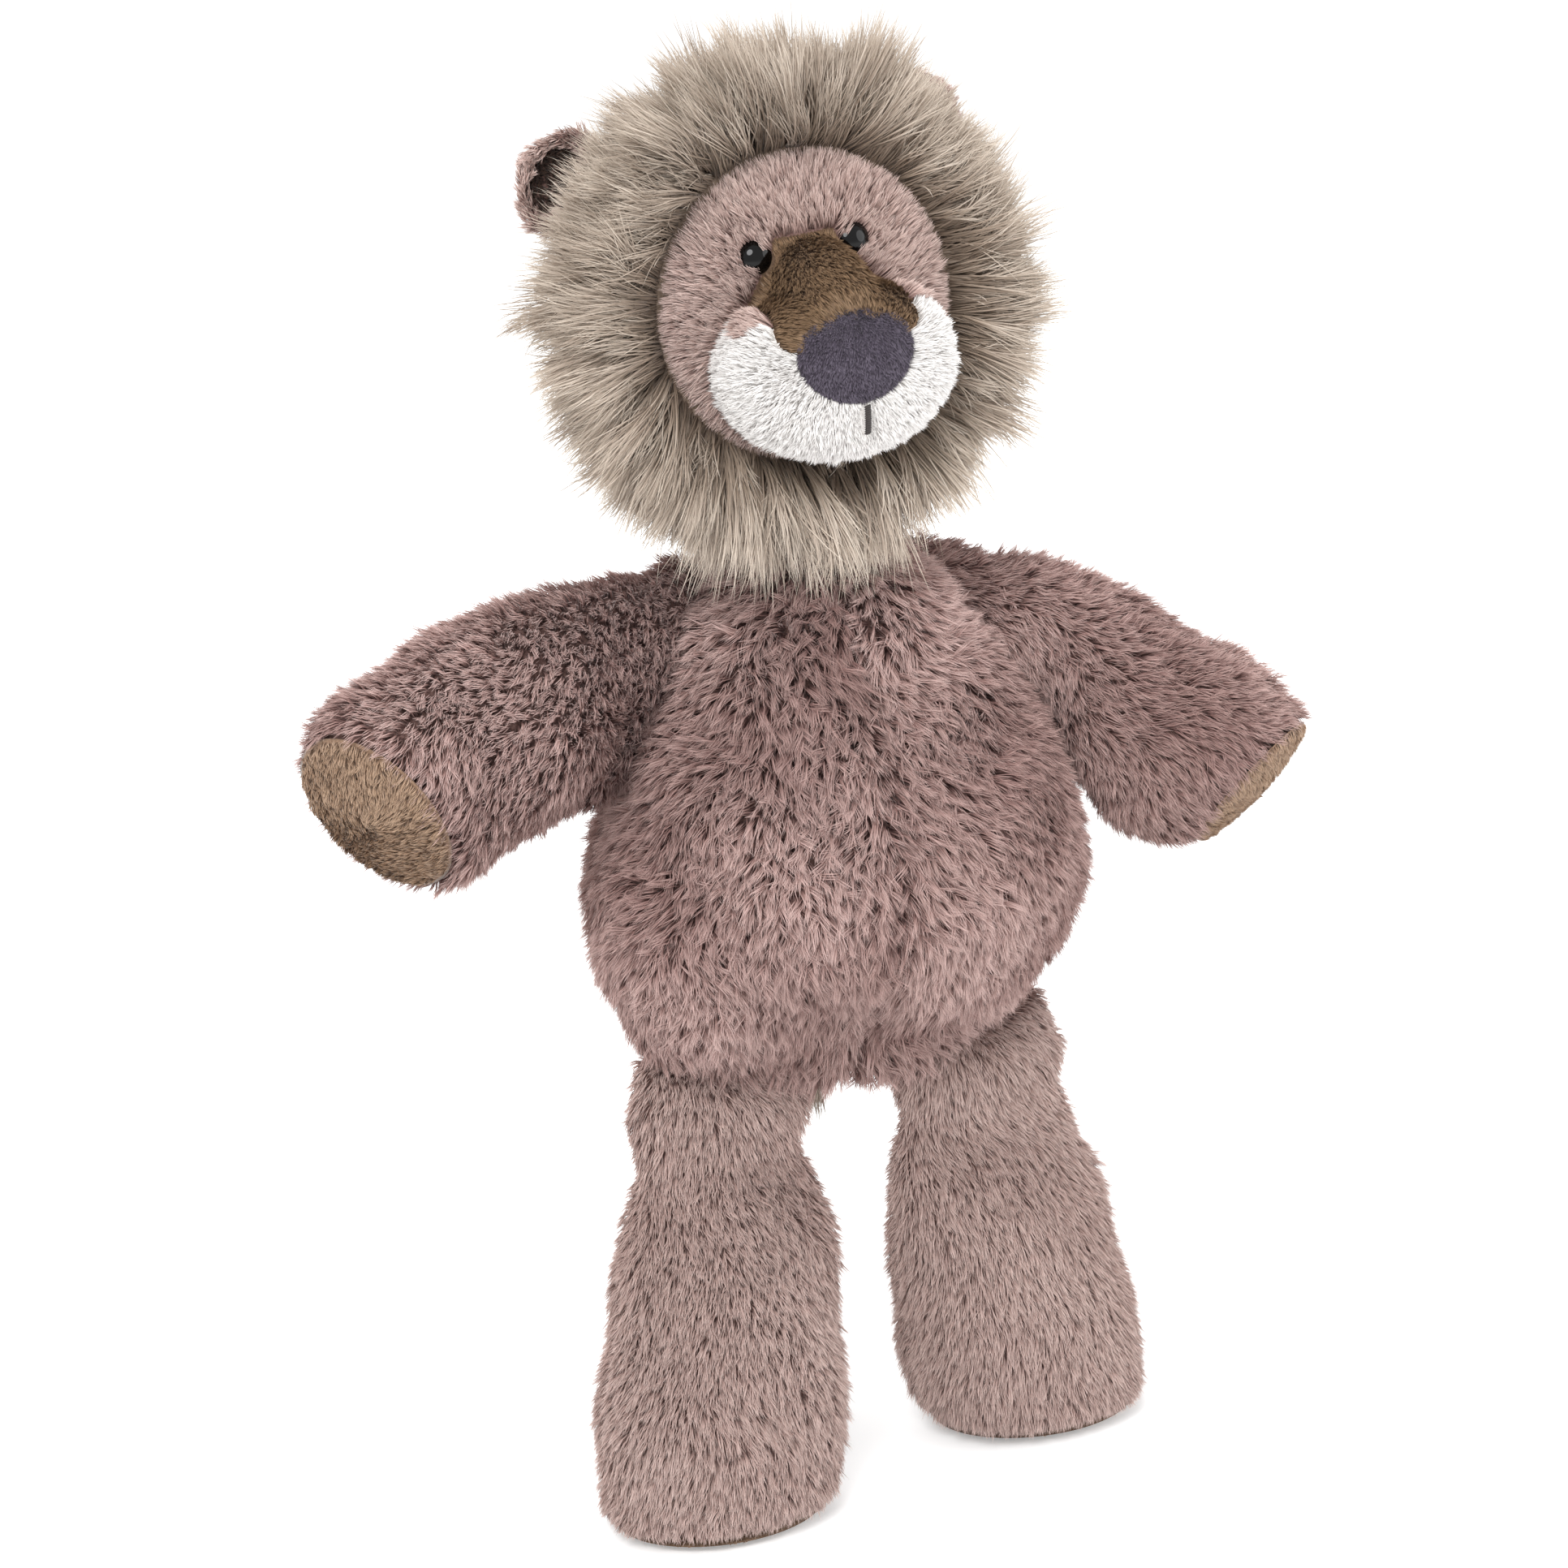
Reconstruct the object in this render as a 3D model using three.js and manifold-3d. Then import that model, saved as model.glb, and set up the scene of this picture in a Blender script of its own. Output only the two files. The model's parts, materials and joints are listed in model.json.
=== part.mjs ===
// A floppy stuffed lion: sewn plush panels over polyester filling, with plastic eyes.
// Millimetres, +Z up. The toy faces -Y and stands on its two soles.
import * as THREE from "three";
import { mergeVertices } from "three/addons/utils/BufferGeometryUtils.js";
import Module from "manifold-3d";

const wasm = await Module();
wasm.setup();

// Driving dimensions: cloth and clearances
const seamGap = 0.3; // between panels that are sewn or laid together
const jointGap = 0.6; // round a stuffed root that turns in its seat
const clothWall = 2.4; // plush backing with the packed roots of its pile
const overrun = 6; // how far a cutter runs past what it cuts

// Driving dimensions: torso
const hipHeight = 94.4; // height of the hip seams above the soles
const torsoBottom = hipHeight + jointGap; // height of the crotch seam
const torsoHeight = 130;
const torsoTop = torsoBottom + torsoHeight;
const bellyHalfWidth = 60;
const bellyHalfDepth = 44;
const bellyForward = 3;

// Driving dimensions: legs
const hipSpread = 30; // hip seam's middle from the centre plane
const rightFootSpread = 43.5; // each sole's middle from the centre plane
const leftFootSpread = 44;
const hipSeamHalf = 21;
const hipRootRadius = 8.5;
const footHalfWidth = 29.5;
const footHalfDepth = 27;
const strideForward = 10; // the near foot is a little ahead, the other behind
const legSwingDeg = [-70, 20]; // forward and back
const solePadThickness = 3;
const soleRecess = 0.5; // the leg's hem stands this far above the sole's face

// Driving dimensions: arms
const shoulderDrop = 30; // shoulder seam's middle below the torso's top
const shoulderHeight = torsoTop - shoulderDrop;
const shoulderStandoff = 2;
const armSeamHalf = 31;
const armRootRadius = 9;
const armLength = 77; // along the middle line, seam to paw
const armHalfWidth = 29;
const armHalfDepth = 21;
const pawPadThickness = 3;
const pawRecess = 1.2;
const armSwingDeg = [-28, 50]; // forward and back about the shoulder seam

// How each arm hangs: its middle line droops from square to its seam, its paw end turns
// by the end droop and then to the front by the paw turn, and the whole arm comes forward
// from the side.
const rightArm = {
  side: -1,
  startDroopDeg: 22,
  endDroopDeg: 58,
  forwardDeg: 24,
  pawTurnDeg: 20,
  pawWidthShare: 0.92,
};
const leftArm = {
  side: 1,
  startDroopDeg: 62,
  endDroopDeg: 70,
  forwardDeg: 26,
  pawTurnDeg: 27,
  pawWidthShare: 0.78,
};

// Driving dimensions: neck and head
const neckRise = 5; // middle of the neck's ball above the torso's top
const neckHeight = torsoTop + neckRise;
const neckBallRadius = 12.5;
const neckStemRadius = 8;
const neckStemLength = 20;
const headLift = 47; // head's middle above the neck's ball
const headHalfWidth = 45;
const headHalfHeight = 46;
const headBackDepth = 36;
const headTiltDeg = 3; // the head leans a little to its right
const headForward = -2; // the widest ring of the head, in Y
const faceRadius = 34.5;
const faceFront = -21; // plane of the face seam, in Y
const faceBulge = 9;

// Driving dimensions: mane
const maneBackSeam = -7;
const maneReach = 55; // radius of the packed hair, sides and top
const maneReachBelow = 43;
const maneFrontLean = 3;
const maneBackLean = 4;
const maneTipHalf = 5;

// Driving dimensions: muzzle
const muzzleHalfWidth = 27;
const muzzleHalfHeight = 20.5;
const muzzleDrop = 12; // muzzle's middle below the face's middle
const muzzleTip = -51;
const muzzleRoot = -17;
const bridgeHalfTop = 8;
const bridgeHalfLow = 17.5;
const bridgeLow = 6.5; // lower edge of the bridge above the muzzle's middle
const bridgeCornerRadius = 4;
const ridgeHalfWidth = 13; // the bridge's ridge, which runs up between the eyes
const ridgeHeight = 29; // its top above the muzzle's middle
const ridgeTip = -42; // where it sinks into the muzzle's top
const cheekLow = 12; // cheek seam above the muzzle's middle, beside the bridge
const cheekSideLow = 4; // the same at the muzzle's sides
const noseHalfWidth = 13.5;
const noseTop = 13;
const noseLow = -6.5;
const noseCornerRadius = 4.5;
const noseSideShare = 0.3; // how high its sides begin to turn in
const noseChinShare = 0.5; // how broad its rounded lower end is
const noseBack = -41;
const mouthLength = 6;
const mouthWidth = 1.3;
const mouthStand = 0.7;

// Driving dimensions: eyes
const eyeSpread = 11.8;
const eyeRise = 13;
const eyeRadius = 3.9;
const eyeDome = 2.7;
const eyeShankRadius = 1.5;
const eyeWasherRadius = 6;
const eyeWasherThickness = 1.5;
const eyeWasherGrip = 1.2;

// Driving dimensions: ears
const earAngleDeg = 37;
const earRootRadius = 44.5; // hinge line's distance from the head's middle
const earY = 6;
const earHalfWidth = 13;
const earLength = 21;
const earThickness = 6;
const earHemRadius = 2.2;
const earLiningThickness = 2;
const earRim = 3.4;

// Driving dimensions: tail
const tailRise = 35; // tail's root above the crotch seam
const tailHeight = torsoBottom + tailRise;
const tailRootRadius = 5;
const tailRadius = 4.2;
const tailLength = 42;
const tailStandoff = 2.5;
const tuftRadius = 8;
const tuftLength = 26;
const tuftOverlap = 8;

// Facets
const torsoSides = 18;
const limbSides = 14;
const headSides = 20;
const smallSides = 12;
const torsoRingCount = 8;
const legRingCount = 5;
const armRingCount = 5;

// Outlines as shares: x along the form, y of its half width, z of its half depth
const torsoShares = [
  [0, 0.5, 0.08],
  [0.06, 0.72, 0.22],
  [0.16, 0.9, 0.52],
  [0.27, 0.98, 0.84],
  [0.38, 1, 1],
  [0.52, 0.93, 0.97],
  [0.68, 0.76, 0.84],
  [0.82, 0.58, 0.68],
  [0.93, 0.42, 0.5],
  [1, 0.3, 0.37],
];
const legShares = [
  [0.12, 0.82, 0.31],
  [0.3, 0.93, 0.62],
  [0.55, 0.98, 0.94],
  [0.85, 1, 1],
  [1, 0.9, 0.9],
];
const armShares = [
  [0.16, 1.04, 0.58],
  [0.4, 1.02, 0.94],
  [0.7, 1, 1],
  [0.92, 0.98, 0.98],
  [1, 0.93, 0.92],
];
const headShares = [
  [0, 0.3],
  [0.1, 0.64],
  [0.26, 0.87],
  [0.5, 0.99],
  [0.68, 1],
  [0.85, 0.91],
  [1, 0.74],
];
const muzzleShares = [
  [0, 0.84, 0.84],
  [0.35, 0.96, 0.96],
  [0.65, 1, 1],
  [0.82, 0.93, 0.93],
  [0.94, 0.73, 0.74],
  [1, 0.46, 0.48],
];
const ridgeShares = [
  [0, 1, 1],
  [0.4, 1, 0.98],
  [0.7, 0.97, 0.86],
  [1, 0.8, 0.6],
];
const earShares = [
  [0.1, 0.78],
  [0.35, 0.98],
  [0.6, 0.98],
  [0.82, 0.74],
  [1, 0.3],
];
const tuftShares = [
  [0, 0.45],
  [0.2, 0.82],
  [0.45, 1],
  [0.75, 0.7],
  [1, 0.15],
];
const domeAnglesDeg = [62, 32];
const swingSteps = 5; // places in a swing at which a limb is kept clear of the torso

const plusX = new THREE.Vector3(1, 0, 0);
const plusY = new THREE.Vector3(0, 1, 0);
const plusZ = new THREE.Vector3(0, 0, 1);
const { degToRad } = THREE.MathUtils;

// Closed meshes and solids
function solidOf(geometry) {
  const bare = geometry.clone();
  bare.deleteAttribute("normal");
  bare.deleteAttribute("uv");
  const merged = mergeVertices(bare);
  const vertProperties = merged.attributes.position.array;
  const triVerts = new Uint32Array(merged.index.array);
  const made = new wasm.Manifold(new wasm.Mesh({ numProp: 3, vertProperties, triVerts }));
  if (made.volume() > 0) return made;
  return new wasm.Manifold(new wasm.Mesh({ numProp: 3, vertProperties, triVerts: triVerts.reverse() }));
}

function geometryOf(solid) {
  const mesh = solid.getMesh();
  const positions = new Float32Array(mesh.numVert * 3);
  for (let i = 0; i < mesh.numVert; i++) {
    positions.set(mesh.vertProperties.subarray(i * mesh.numProp, i * mesh.numProp + 3), i * 3);
  }
  const geometry = new THREE.BufferGeometry();
  geometry.setAttribute("position", new THREE.BufferAttribute(positions, 3));
  geometry.setIndex(new THREE.BufferAttribute(new Uint32Array(mesh.triVerts), 1));
  geometry.computeVertexNormals();
  return geometry;
}

// A ring of a lofted form: its middle, two axes and the half sizes along them.
function ring(centre, across, through, halfAcross, halfThrough) {
  return { centre, across, through, halfAcross, halfThrough };
}

function loft(rings, sides) {
  const positions = [];
  const index = [];
  for (const { centre, across, through, halfAcross, halfThrough } of rings) {
    for (let k = 0; k < sides; k++) {
      const angle = (2 * Math.PI * k) / sides;
      const point = centre
        .clone()
        .addScaledVector(across, halfAcross * Math.cos(angle))
        .addScaledVector(through, halfThrough * Math.sin(angle));
      positions.push(...point);
    }
  }
  const first = rings.length * sides;
  positions.push(...rings[0].centre, ...rings.at(-1).centre);
  const top = (rings.length - 1) * sides;
  for (let k = 0; k < sides; k++) {
    const next = (k + 1) % sides;
    for (let row = 0; row < top; row += sides) {
      index.push(row + k, row + next, row + sides + next, row + k, row + sides + next, row + sides + k);
    }
    index.push(first, next, k, first + 1, top + k, top + next);
  }
  const geometry = new THREE.BufferGeometry();
  geometry.setAttribute("position", new THREE.BufferAttribute(new Float32Array(positions), 3));
  geometry.setIndex(index);
  return solidOf(geometry);
}

// The same form drawn in by a depth measured square to its surface.
function inset(rings, depth) {
  const last = rings.length - 1;
  return rings.map((one, i) => {
    const before = rings[Math.max(i - 1, 0)];
    const after = rings[Math.min(i + 1, last)];
    const along = after.centre.clone().sub(before.centre);
    const step = along.length();
    const swellAcross = after.halfAcross - before.halfAcross;
    const swellThrough = after.halfThrough - before.halfThrough;
    const swell = (swellAcross + swellThrough) / 2;
    const shift = (depth * swell) / Math.hypot(step, swell);
    return ring(
      one.centre.clone().addScaledVector(along.normalize(), shift),
      one.across,
      one.through,
      one.halfAcross - (depth * step) / Math.hypot(step, swellAcross),
      one.halfThrough - (depth * step) / Math.hypot(step, swellThrough),
    );
  });
}

// The rings with the last one moved along the form's end direction.
function withEndMoved(rings, distance) {
  const last = rings.at(-1);
  const direction = last.centre.clone().sub(rings.at(-2).centre).normalize();
  const moved = { ...last, centre: last.centre.clone().addScaledVector(direction, distance) };
  return [...rings.slice(0, -1), moved];
}

// Points of a smooth outline through chosen shares
function outline(shares, count) {
  const points = shares.map(([along, wide, deep]) => new THREE.Vector3(along, wide, deep ?? wide));
  return new THREE.CatmullRomCurve3(points, false, "centripetal").getPoints(count);
}

function blockBetween(low, high) {
  const size = high.clone().sub(low);
  const middle = low.clone().add(high).divideScalar(2);
  return solidOf(new THREE.BoxGeometry(...size).translate(...middle));
}

const reach = torsoTop + headHalfHeight; // longer than any piece
function halfSpace(axis, from, sign) {
  const low = new THREE.Vector3(-reach, -reach, -reach);
  const high = new THREE.Vector3(reach, reach, reach);
  if (sign > 0) low[axis] = from;
  else high[axis] = from;
  return blockBetween(low, high);
}

function splitAt(solid, axis, place = 0) {
  return [
    solid.intersect(halfSpace(axis, place + seamGap / 2, 1)),
    solid.intersect(halfSpace(axis, place - seamGap / 2, -1)),
  ];
}

function ball(halfSizes, sides) {
  return solidOf(new THREE.SphereGeometry(1, sides, sides / 2).scale(...halfSizes));
}

function placed(solid, matrix) {
  return solidOf(geometryOf(solid).applyMatrix4(matrix));
}

// Materials
function cloth(color, roughness = 0.95) {
  return new THREE.MeshStandardMaterial({ color, roughness, metalness: 0 });
}
const mauvePlush = cloth("#a8857d");
const greyMane = cloth("#9a8878");
const whitePlush = cloth("#e6e2e0");
const bronzePlush = cloth("#8a705a", 0.7);
const nosePlush = cloth("#4d4552", 0.85);
const brownPlush = cloth("#37261f");
const stitchThread = cloth("#2b2220", 0.8);
const filling = cloth("#f1efe9", 1);
const blackPlastic = new THREE.MeshStandardMaterial({ color: "#050505", roughness: 0.12, metalness: 0 });
const washerPlastic = new THREE.MeshStandardMaterial({ color: "#d9d9d6", roughness: 0.5, metalness: 0 });

function piece(name, solid, material) {
  const mesh = new THREE.Mesh(geometryOf(solid), material);
  mesh.name = name;
  return mesh;
}

function marker(name, axis) {
  const point = new THREE.Object3D();
  point.name = name;
  point.userData.axis = axis.toArray();
  return point;
}

// Torso form
function torsoRings() {
  return outline(torsoShares, torsoRingCount).map(({ x, y, z }) =>
    ring(
      new THREE.Vector3(0, -bellyForward * z, torsoBottom + torsoHeight * x),
      plusX,
      plusY,
      bellyHalfWidth * y,
      bellyHalfDepth * z,
    ),
  );
}

// The torso's side at a height: half width, and how far the side leans in going up.
function torsoSideAt(height) {
  const rings = torsoRings();
  const above = rings.findIndex((one) => one.centre.z > height);
  const upper = rings[above];
  const lower = rings[above - 1];
  const rise = upper.centre.z - lower.centre.z;
  const share = (height - lower.centre.z) / rise;
  const lean = Math.atan2(lower.halfAcross - upper.halfAcross, rise);
  return { halfWidth: THREE.MathUtils.lerp(lower.halfAcross, upper.halfAcross, share), lean };
}

// A limb's form kept clear of the torso at every place in its swing. Only its root, inside
// the seat, reaches into the torso.
function clearOfTorso(form, frame, root, makeTurn, swingDeg) {
  const torso = loft(inset(torsoRings(), -jointGap), torsoSides);
  let left = form;
  for (let k = 0; k < swingSteps; k++) {
    const angle = degToRad(THREE.MathUtils.lerp(...swingDeg, k / (swingSteps - 1)));
    const torsoFromLimb = makeTurn(-angle).multiply(frame.clone().invert());
    left = left.subtract(placed(torso, torsoFromLimb).subtract(root));
  }
  return left;
}

// Arms: the frame at a shoulder seam has X square to the seam and Z along it.
function shoulderFrame({ side, forwardDeg }) {
  const { halfWidth, lean } = torsoSideAt(shoulderHeight);
  const frame = new THREE.Matrix4().makeTranslation(
    side * (halfWidth + shoulderStandoff),
    0,
    shoulderHeight,
  );
  const tilt = new THREE.Matrix4().makeRotationY(-lean);
  const swing = new THREE.Matrix4().makeRotationZ(-degToRad(forwardDeg));
  const mirror = new THREE.Matrix4().makeScale(side, 1, 1);
  return frame.multiply(mirror).multiply(tilt).multiply(swing);
}

function domeRings(seamHalf, rootRadius, seamAxis, throughAxis, outward) {
  return domeAnglesDeg.map((deg) => {
    const angle = degToRad(deg);
    return ring(
      outward.clone().multiplyScalar(-rootRadius * Math.sin(angle)),
      seamAxis,
      throughAxis,
      seamHalf * Math.cos(angle),
      rootRadius * Math.cos(angle),
    );
  });
}

function armRings({ startDroopDeg, endDroopDeg, pawTurnDeg, pawWidthShare }) {
  const rings = domeRings(armSeamHalf, armRootRadius, plusZ, plusY, plusX);
  rings.push(ring(new THREE.Vector3(), plusZ, plusY, armSeamHalf, armRootRadius));
  const centre = new THREE.Vector3();
  let along = 0;
  for (const { x, y, z } of outline(armShares, armRingCount)) {
    const droop = degToRad(THREE.MathUtils.lerp(startDroopDeg, endDroopDeg, (x + along) / 2));
    const step = armLength * (x - along);
    centre.add(new THREE.Vector3(Math.cos(droop), 0, -Math.sin(droop)).multiplyScalar(step));
    const turn = degToRad(endDroopDeg) * x;
    const across = new THREE.Vector3(Math.sin(turn), 0, Math.cos(turn));
    const ahead = new THREE.Vector3(Math.cos(turn), 0, -Math.sin(turn));
    const pawTurn = degToRad(pawTurnDeg) * x * x;
    const through = plusY.clone().multiplyScalar(Math.cos(pawTurn)).addScaledVector(ahead, Math.sin(pawTurn));
    const halfWidth = armHalfWidth * y * THREE.MathUtils.lerp(1, pawWidthShare, x);
    rings.push(ring(centre.clone(), across, through, halfWidth, armHalfDepth * z));
    along = x;
  }
  return rings;
}

function armRoot(clearance) {
  const radius = armRootRadius + clearance;
  return ball([radius, radius, armSeamHalf + clearance], limbSides);
}

function buildArm(name, arm) {
  const frame = shoulderFrame(arm);
  const rings = armRings(arm);
  const lining = inset(rings, clothWall);
  const core = inset(rings, clothWall + seamGap);
  const clear = (form) => {
    const makeTurn = (angle) => new THREE.Matrix4().makeRotationZ(angle);
    return clearOfTorso(form, frame, armRoot(jointGap / 4), makeTurn, armSwingDeg);
  };
  const skin = loft(rings, limbSides).subtract(loft(withEndMoved(lining, overrun), limbSides));
  const [back, front] = splitAt(clear(skin), "y");
  const padFace = withEndMoved(core, -pawRecess).at(-1);
  const padBack = withEndMoved(core, -pawRecess - pawPadThickness).at(-1);
  const pad = loft([padBack, padFace], limbSides);
  const fill = clear(loft(withEndMoved(core, -pawRecess - pawPadThickness - seamGap), limbSides));
  const group = new THREE.Group();
  group.applyMatrix4(frame);
  group.add(
    piece(`${name}_front_panel`, front, mauvePlush),
    piece(`${name}_back_panel`, back, mauvePlush),
    piece(`${name}_paw_pad`, pad, bronzePlush),
    piece(`${name}_filling`, fill, filling),
    marker(`${name}_joint`, plusZ),
  );
  return group;
}

function armSeat(arm) {
  return placed(armRoot(jointGap), shoulderFrame(arm));
}

// Legs: rings lie level, and the foot stands a little outside and ahead of the hip.
function legRings(side) {
  const footSpread = side > 0 ? leftFootSpread : rightFootSpread;
  const drop = plusZ.clone().negate();
  const acrossLeg = plusX.clone().negate();
  const rings = domeRings(hipSeamHalf, hipRootRadius, acrossLeg, plusY, drop);
  rings.push(ring(new THREE.Vector3(), acrossLeg, plusY, hipSeamHalf, hipRootRadius));
  for (const { x, y, z } of outline(legShares, legRingCount)) {
    const centre = new THREE.Vector3(
      side * (footSpread - hipSpread) * x,
      side * strideForward * x,
      -hipHeight * x,
    );
    rings.push(ring(centre, acrossLeg, plusY, footHalfWidth * y, footHalfDepth * z));
  }
  return rings;
}

function hipFrame(side) {
  return new THREE.Matrix4().makeTranslation(side * hipSpread, 0, hipHeight);
}

function legRoot(clearance) {
  const radius = hipRootRadius + clearance;
  return ball([hipSeamHalf + clearance, radius, radius], limbSides);
}

function buildLeg(name, side) {
  const rings = legRings(side);
  const lining = inset(rings, clothWall);
  const core = inset(rings, clothWall + seamGap);
  const hemAt = soleRecess - hipHeight;
  const frame = hipFrame(side);
  const clear = (form) => {
    const makeTurn = (angle) => new THREE.Matrix4().makeRotationX(angle);
    return clearOfTorso(form, frame, legRoot(jointGap / 4), makeTurn, legSwingDeg);
  };
  const outer = loft(rings, limbSides).subtract(halfSpace("z", hemAt, -1));
  const skin = clear(outer.subtract(loft(withEndMoved(lining, overrun), limbSides)));
  const [back, front] = splitAt(skin, "y");
  const inner = loft(withEndMoved(core, overrun), limbSides);
  const padTop = solePadThickness - hipHeight;
  const pad = inner.subtract(halfSpace("z", padTop, 1)).subtract(halfSpace("z", -hipHeight, -1));
  const fill = clear(inner.subtract(halfSpace("z", padTop + seamGap, -1)));
  const group = new THREE.Group();
  group.applyMatrix4(frame);
  group.add(
    piece(`${name}_front_panel`, front, mauvePlush),
    piece(`${name}_back_panel`, back, mauvePlush),
    piece(`${name}_sole_pad`, pad, bronzePlush),
    piece(`${name}_filling`, fill, filling),
    marker(`${name}_joint`, plusX),
  );
  return group;
}

function legSeat(side) {
  return placed(legRoot(jointGap), hipFrame(side));
}

// Neck: a firm wad of filling with a ball that the head nods on
function neckProfile(radius, stem) {
  const start = Math.asin(stem / radius);
  const points = [new THREE.Vector2(0, -radius - neckStemLength + neckStemRadius)];
  points.push(new THREE.Vector2(stem, -radius - neckStemLength + neckStemRadius));
  for (let k = 0; k <= smallSides / 2; k++) {
    const angle = THREE.MathUtils.lerp(start, Math.PI, (2 * k) / smallSides);
    points.push(new THREE.Vector2(radius * Math.sin(angle), -radius * Math.cos(angle)));
  }
  points.at(-1).x = 0;
  return points;
}

function neckForm(clearance) {
  const profile = neckProfile(neckBallRadius + clearance, neckStemRadius + clearance);
  const geometry = new THREE.LatheGeometry(profile, limbSides).rotateX(Math.PI / 2);
  return solidOf(geometry.translate(0, 0, neckHeight));
}

function tailRoot() {
  const rings = torsoRings();
  const above = rings.findIndex((one) => one.centre.z > tailHeight);
  const upper = rings[above];
  const lower = rings[above - 1];
  const share = (tailHeight - lower.centre.z) / (upper.centre.z - lower.centre.z);
  const backOf = (one) => one.centre.y + one.halfThrough;
  const back = THREE.MathUtils.lerp(backOf(lower), backOf(upper), share);
  return new THREE.Vector3(0, back + tailStandoff, tailHeight);
}

// Torso: four panels round one filling, with seats for the limbs, the neck and the tail
function buildTorso() {
  const rings = torsoRings();
  const seats = [
    armSeat(leftArm),
    armSeat(rightArm),
    legSeat(1),
    legSeat(-1),
    neckForm(jointGap),
    placed(
      ball([tailRootRadius + jointGap, tailRootRadius + jointGap, tailRootRadius + jointGap], smallSides),
      new THREE.Matrix4().setPosition(tailRoot()),
    ),
  ];
  const withoutSeats = (solid) => seats.reduce((left, seat) => left.subtract(seat), solid);
  const skin = loft(rings, torsoSides).subtract(loft(inset(rings, clothWall), torsoSides));
  const [back, front] = splitAt(withoutSeats(skin), "y");
  const [leftFront, rightFront] = splitAt(front, "x");
  const [leftBack, rightBack] = splitAt(back, "x");
  const fill = withoutSeats(loft(inset(rings, clothWall + seamGap), torsoSides));
  const group = new THREE.Group();
  group.add(
    piece("torso_front_left_panel", leftFront, mauvePlush),
    piece("torso_front_right_panel", rightFront, mauvePlush),
    piece("torso_back_left_panel", leftBack, mauvePlush),
    piece("torso_back_right_panel", rightBack, mauvePlush),
    piece("torso_filling", fill, filling),
  );
  return group;
}

function buildNeck() {
  const group = new THREE.Group();
  const joint = marker("neck_joint", plusZ);
  joint.position.z = neckHeight;
  group.add(piece("neck_filling", neckForm(0), filling), joint);
  return group;
}

// Head frame: the origin is the middle of the face seam's height, and Y is the toy's own Y.
const headMiddle = neckHeight + headLift;

function headRings() {
  const back = headForward + headBackDepth;
  const rings = outline(headShares, headShares.length + 1).map(({ x, y }) =>
    ring(
      new THREE.Vector3(0, THREE.MathUtils.lerp(back, faceFront, x), 0),
      plusX,
      plusZ,
      headHalfWidth * y,
      headHalfHeight * y,
    ),
  );
  return rings;
}

// The face is a spherical cap over the face seam.
const faceBall = (faceRadius ** 2 + faceBulge ** 2) / (2 * faceBulge);
const faceBallY = faceFront - faceBulge + faceBall;

function faceCap(depth) {
  const radius = faceBall - depth;
  const rim = Math.asin(faceRadius / faceBall);
  const profile = [new THREE.Vector2(0, 0)];
  for (let k = smallSides / 2; k >= 0; k--) {
    const angle = (2 * rim * k) / smallSides;
    profile.push(new THREE.Vector2(radius * Math.sin(angle), radius * Math.cos(angle)));
  }
  profile.at(-1).x = 0;
  const cap = solidOf(new THREE.LatheGeometry(profile, headSides).rotateX(Math.PI));
  const sector = placed(cap, new THREE.Matrix4().makeTranslation(0, faceBallY, 0));
  return sector.subtract(halfSpace("y", faceFront + overrun, 1));
}

function muzzleRings() {
  return outline(muzzleShares, muzzleShares.length + 2).map(({ x, y, z }) =>
    ring(
      new THREE.Vector3(0, THREE.MathUtils.lerp(muzzleRoot, muzzleTip, x), -muzzleDrop),
      plusX,
      plusZ,
      muzzleHalfWidth * y,
      muzzleHalfHeight * z,
    ),
  );
}

function ridgeRings() {
  return outline(ridgeShares, ridgeShares.length).map(({ x, y, z }) =>
    ring(
      new THREE.Vector3(0, THREE.MathUtils.lerp(muzzleRoot, ridgeTip, x), -muzzleDrop),
      plusX,
      plusZ,
      ridgeHalfWidth * y,
      ridgeHeight * z,
    ),
  );
}

// The muzzle with its ridge, drawn in by a depth
function muzzleForm(depth) {
  const ridge = loft(inset(ridgeRings(), depth), headSides).intersect(halfSpace("z", -muzzleDrop, 1));
  return loft(inset(muzzleRings(), depth), headSides).add(ridge);
}

// A prism along Y through the muzzle's front, from an outline in X and Z
function prismThroughMuzzle(shape, front, back) {
  const geometry = new THREE.ExtrudeGeometry(shape, {
    depth: back - front,
    bevelEnabled: false,
    curveSegments: smallSides / 2,
  });
  geometry.rotateX(Math.PI / 2).translate(0, back, -muzzleDrop);
  return solidOf(geometry);
}

function noseShape(clearance) {
  const half = noseHalfWidth + clearance;
  const top = noseTop + clearance;
  const low = noseLow - clearance;
  const corner = noseCornerRadius + clearance;
  const turn = THREE.MathUtils.lerp(low, top, noseSideShare);
  const chin = half * noseChinShare;
  const shape = new THREE.Shape();
  shape.moveTo(-half + corner, top);
  shape.lineTo(half - corner, top);
  shape.quadraticCurveTo(half, top, half, top - corner);
  shape.bezierCurveTo(half, turn, chin, low, 0, low);
  shape.bezierCurveTo(-chin, low, -half, turn, -half, top - corner);
  shape.quadraticCurveTo(-half, top, -half + corner, top);
  return shape;
}

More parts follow.
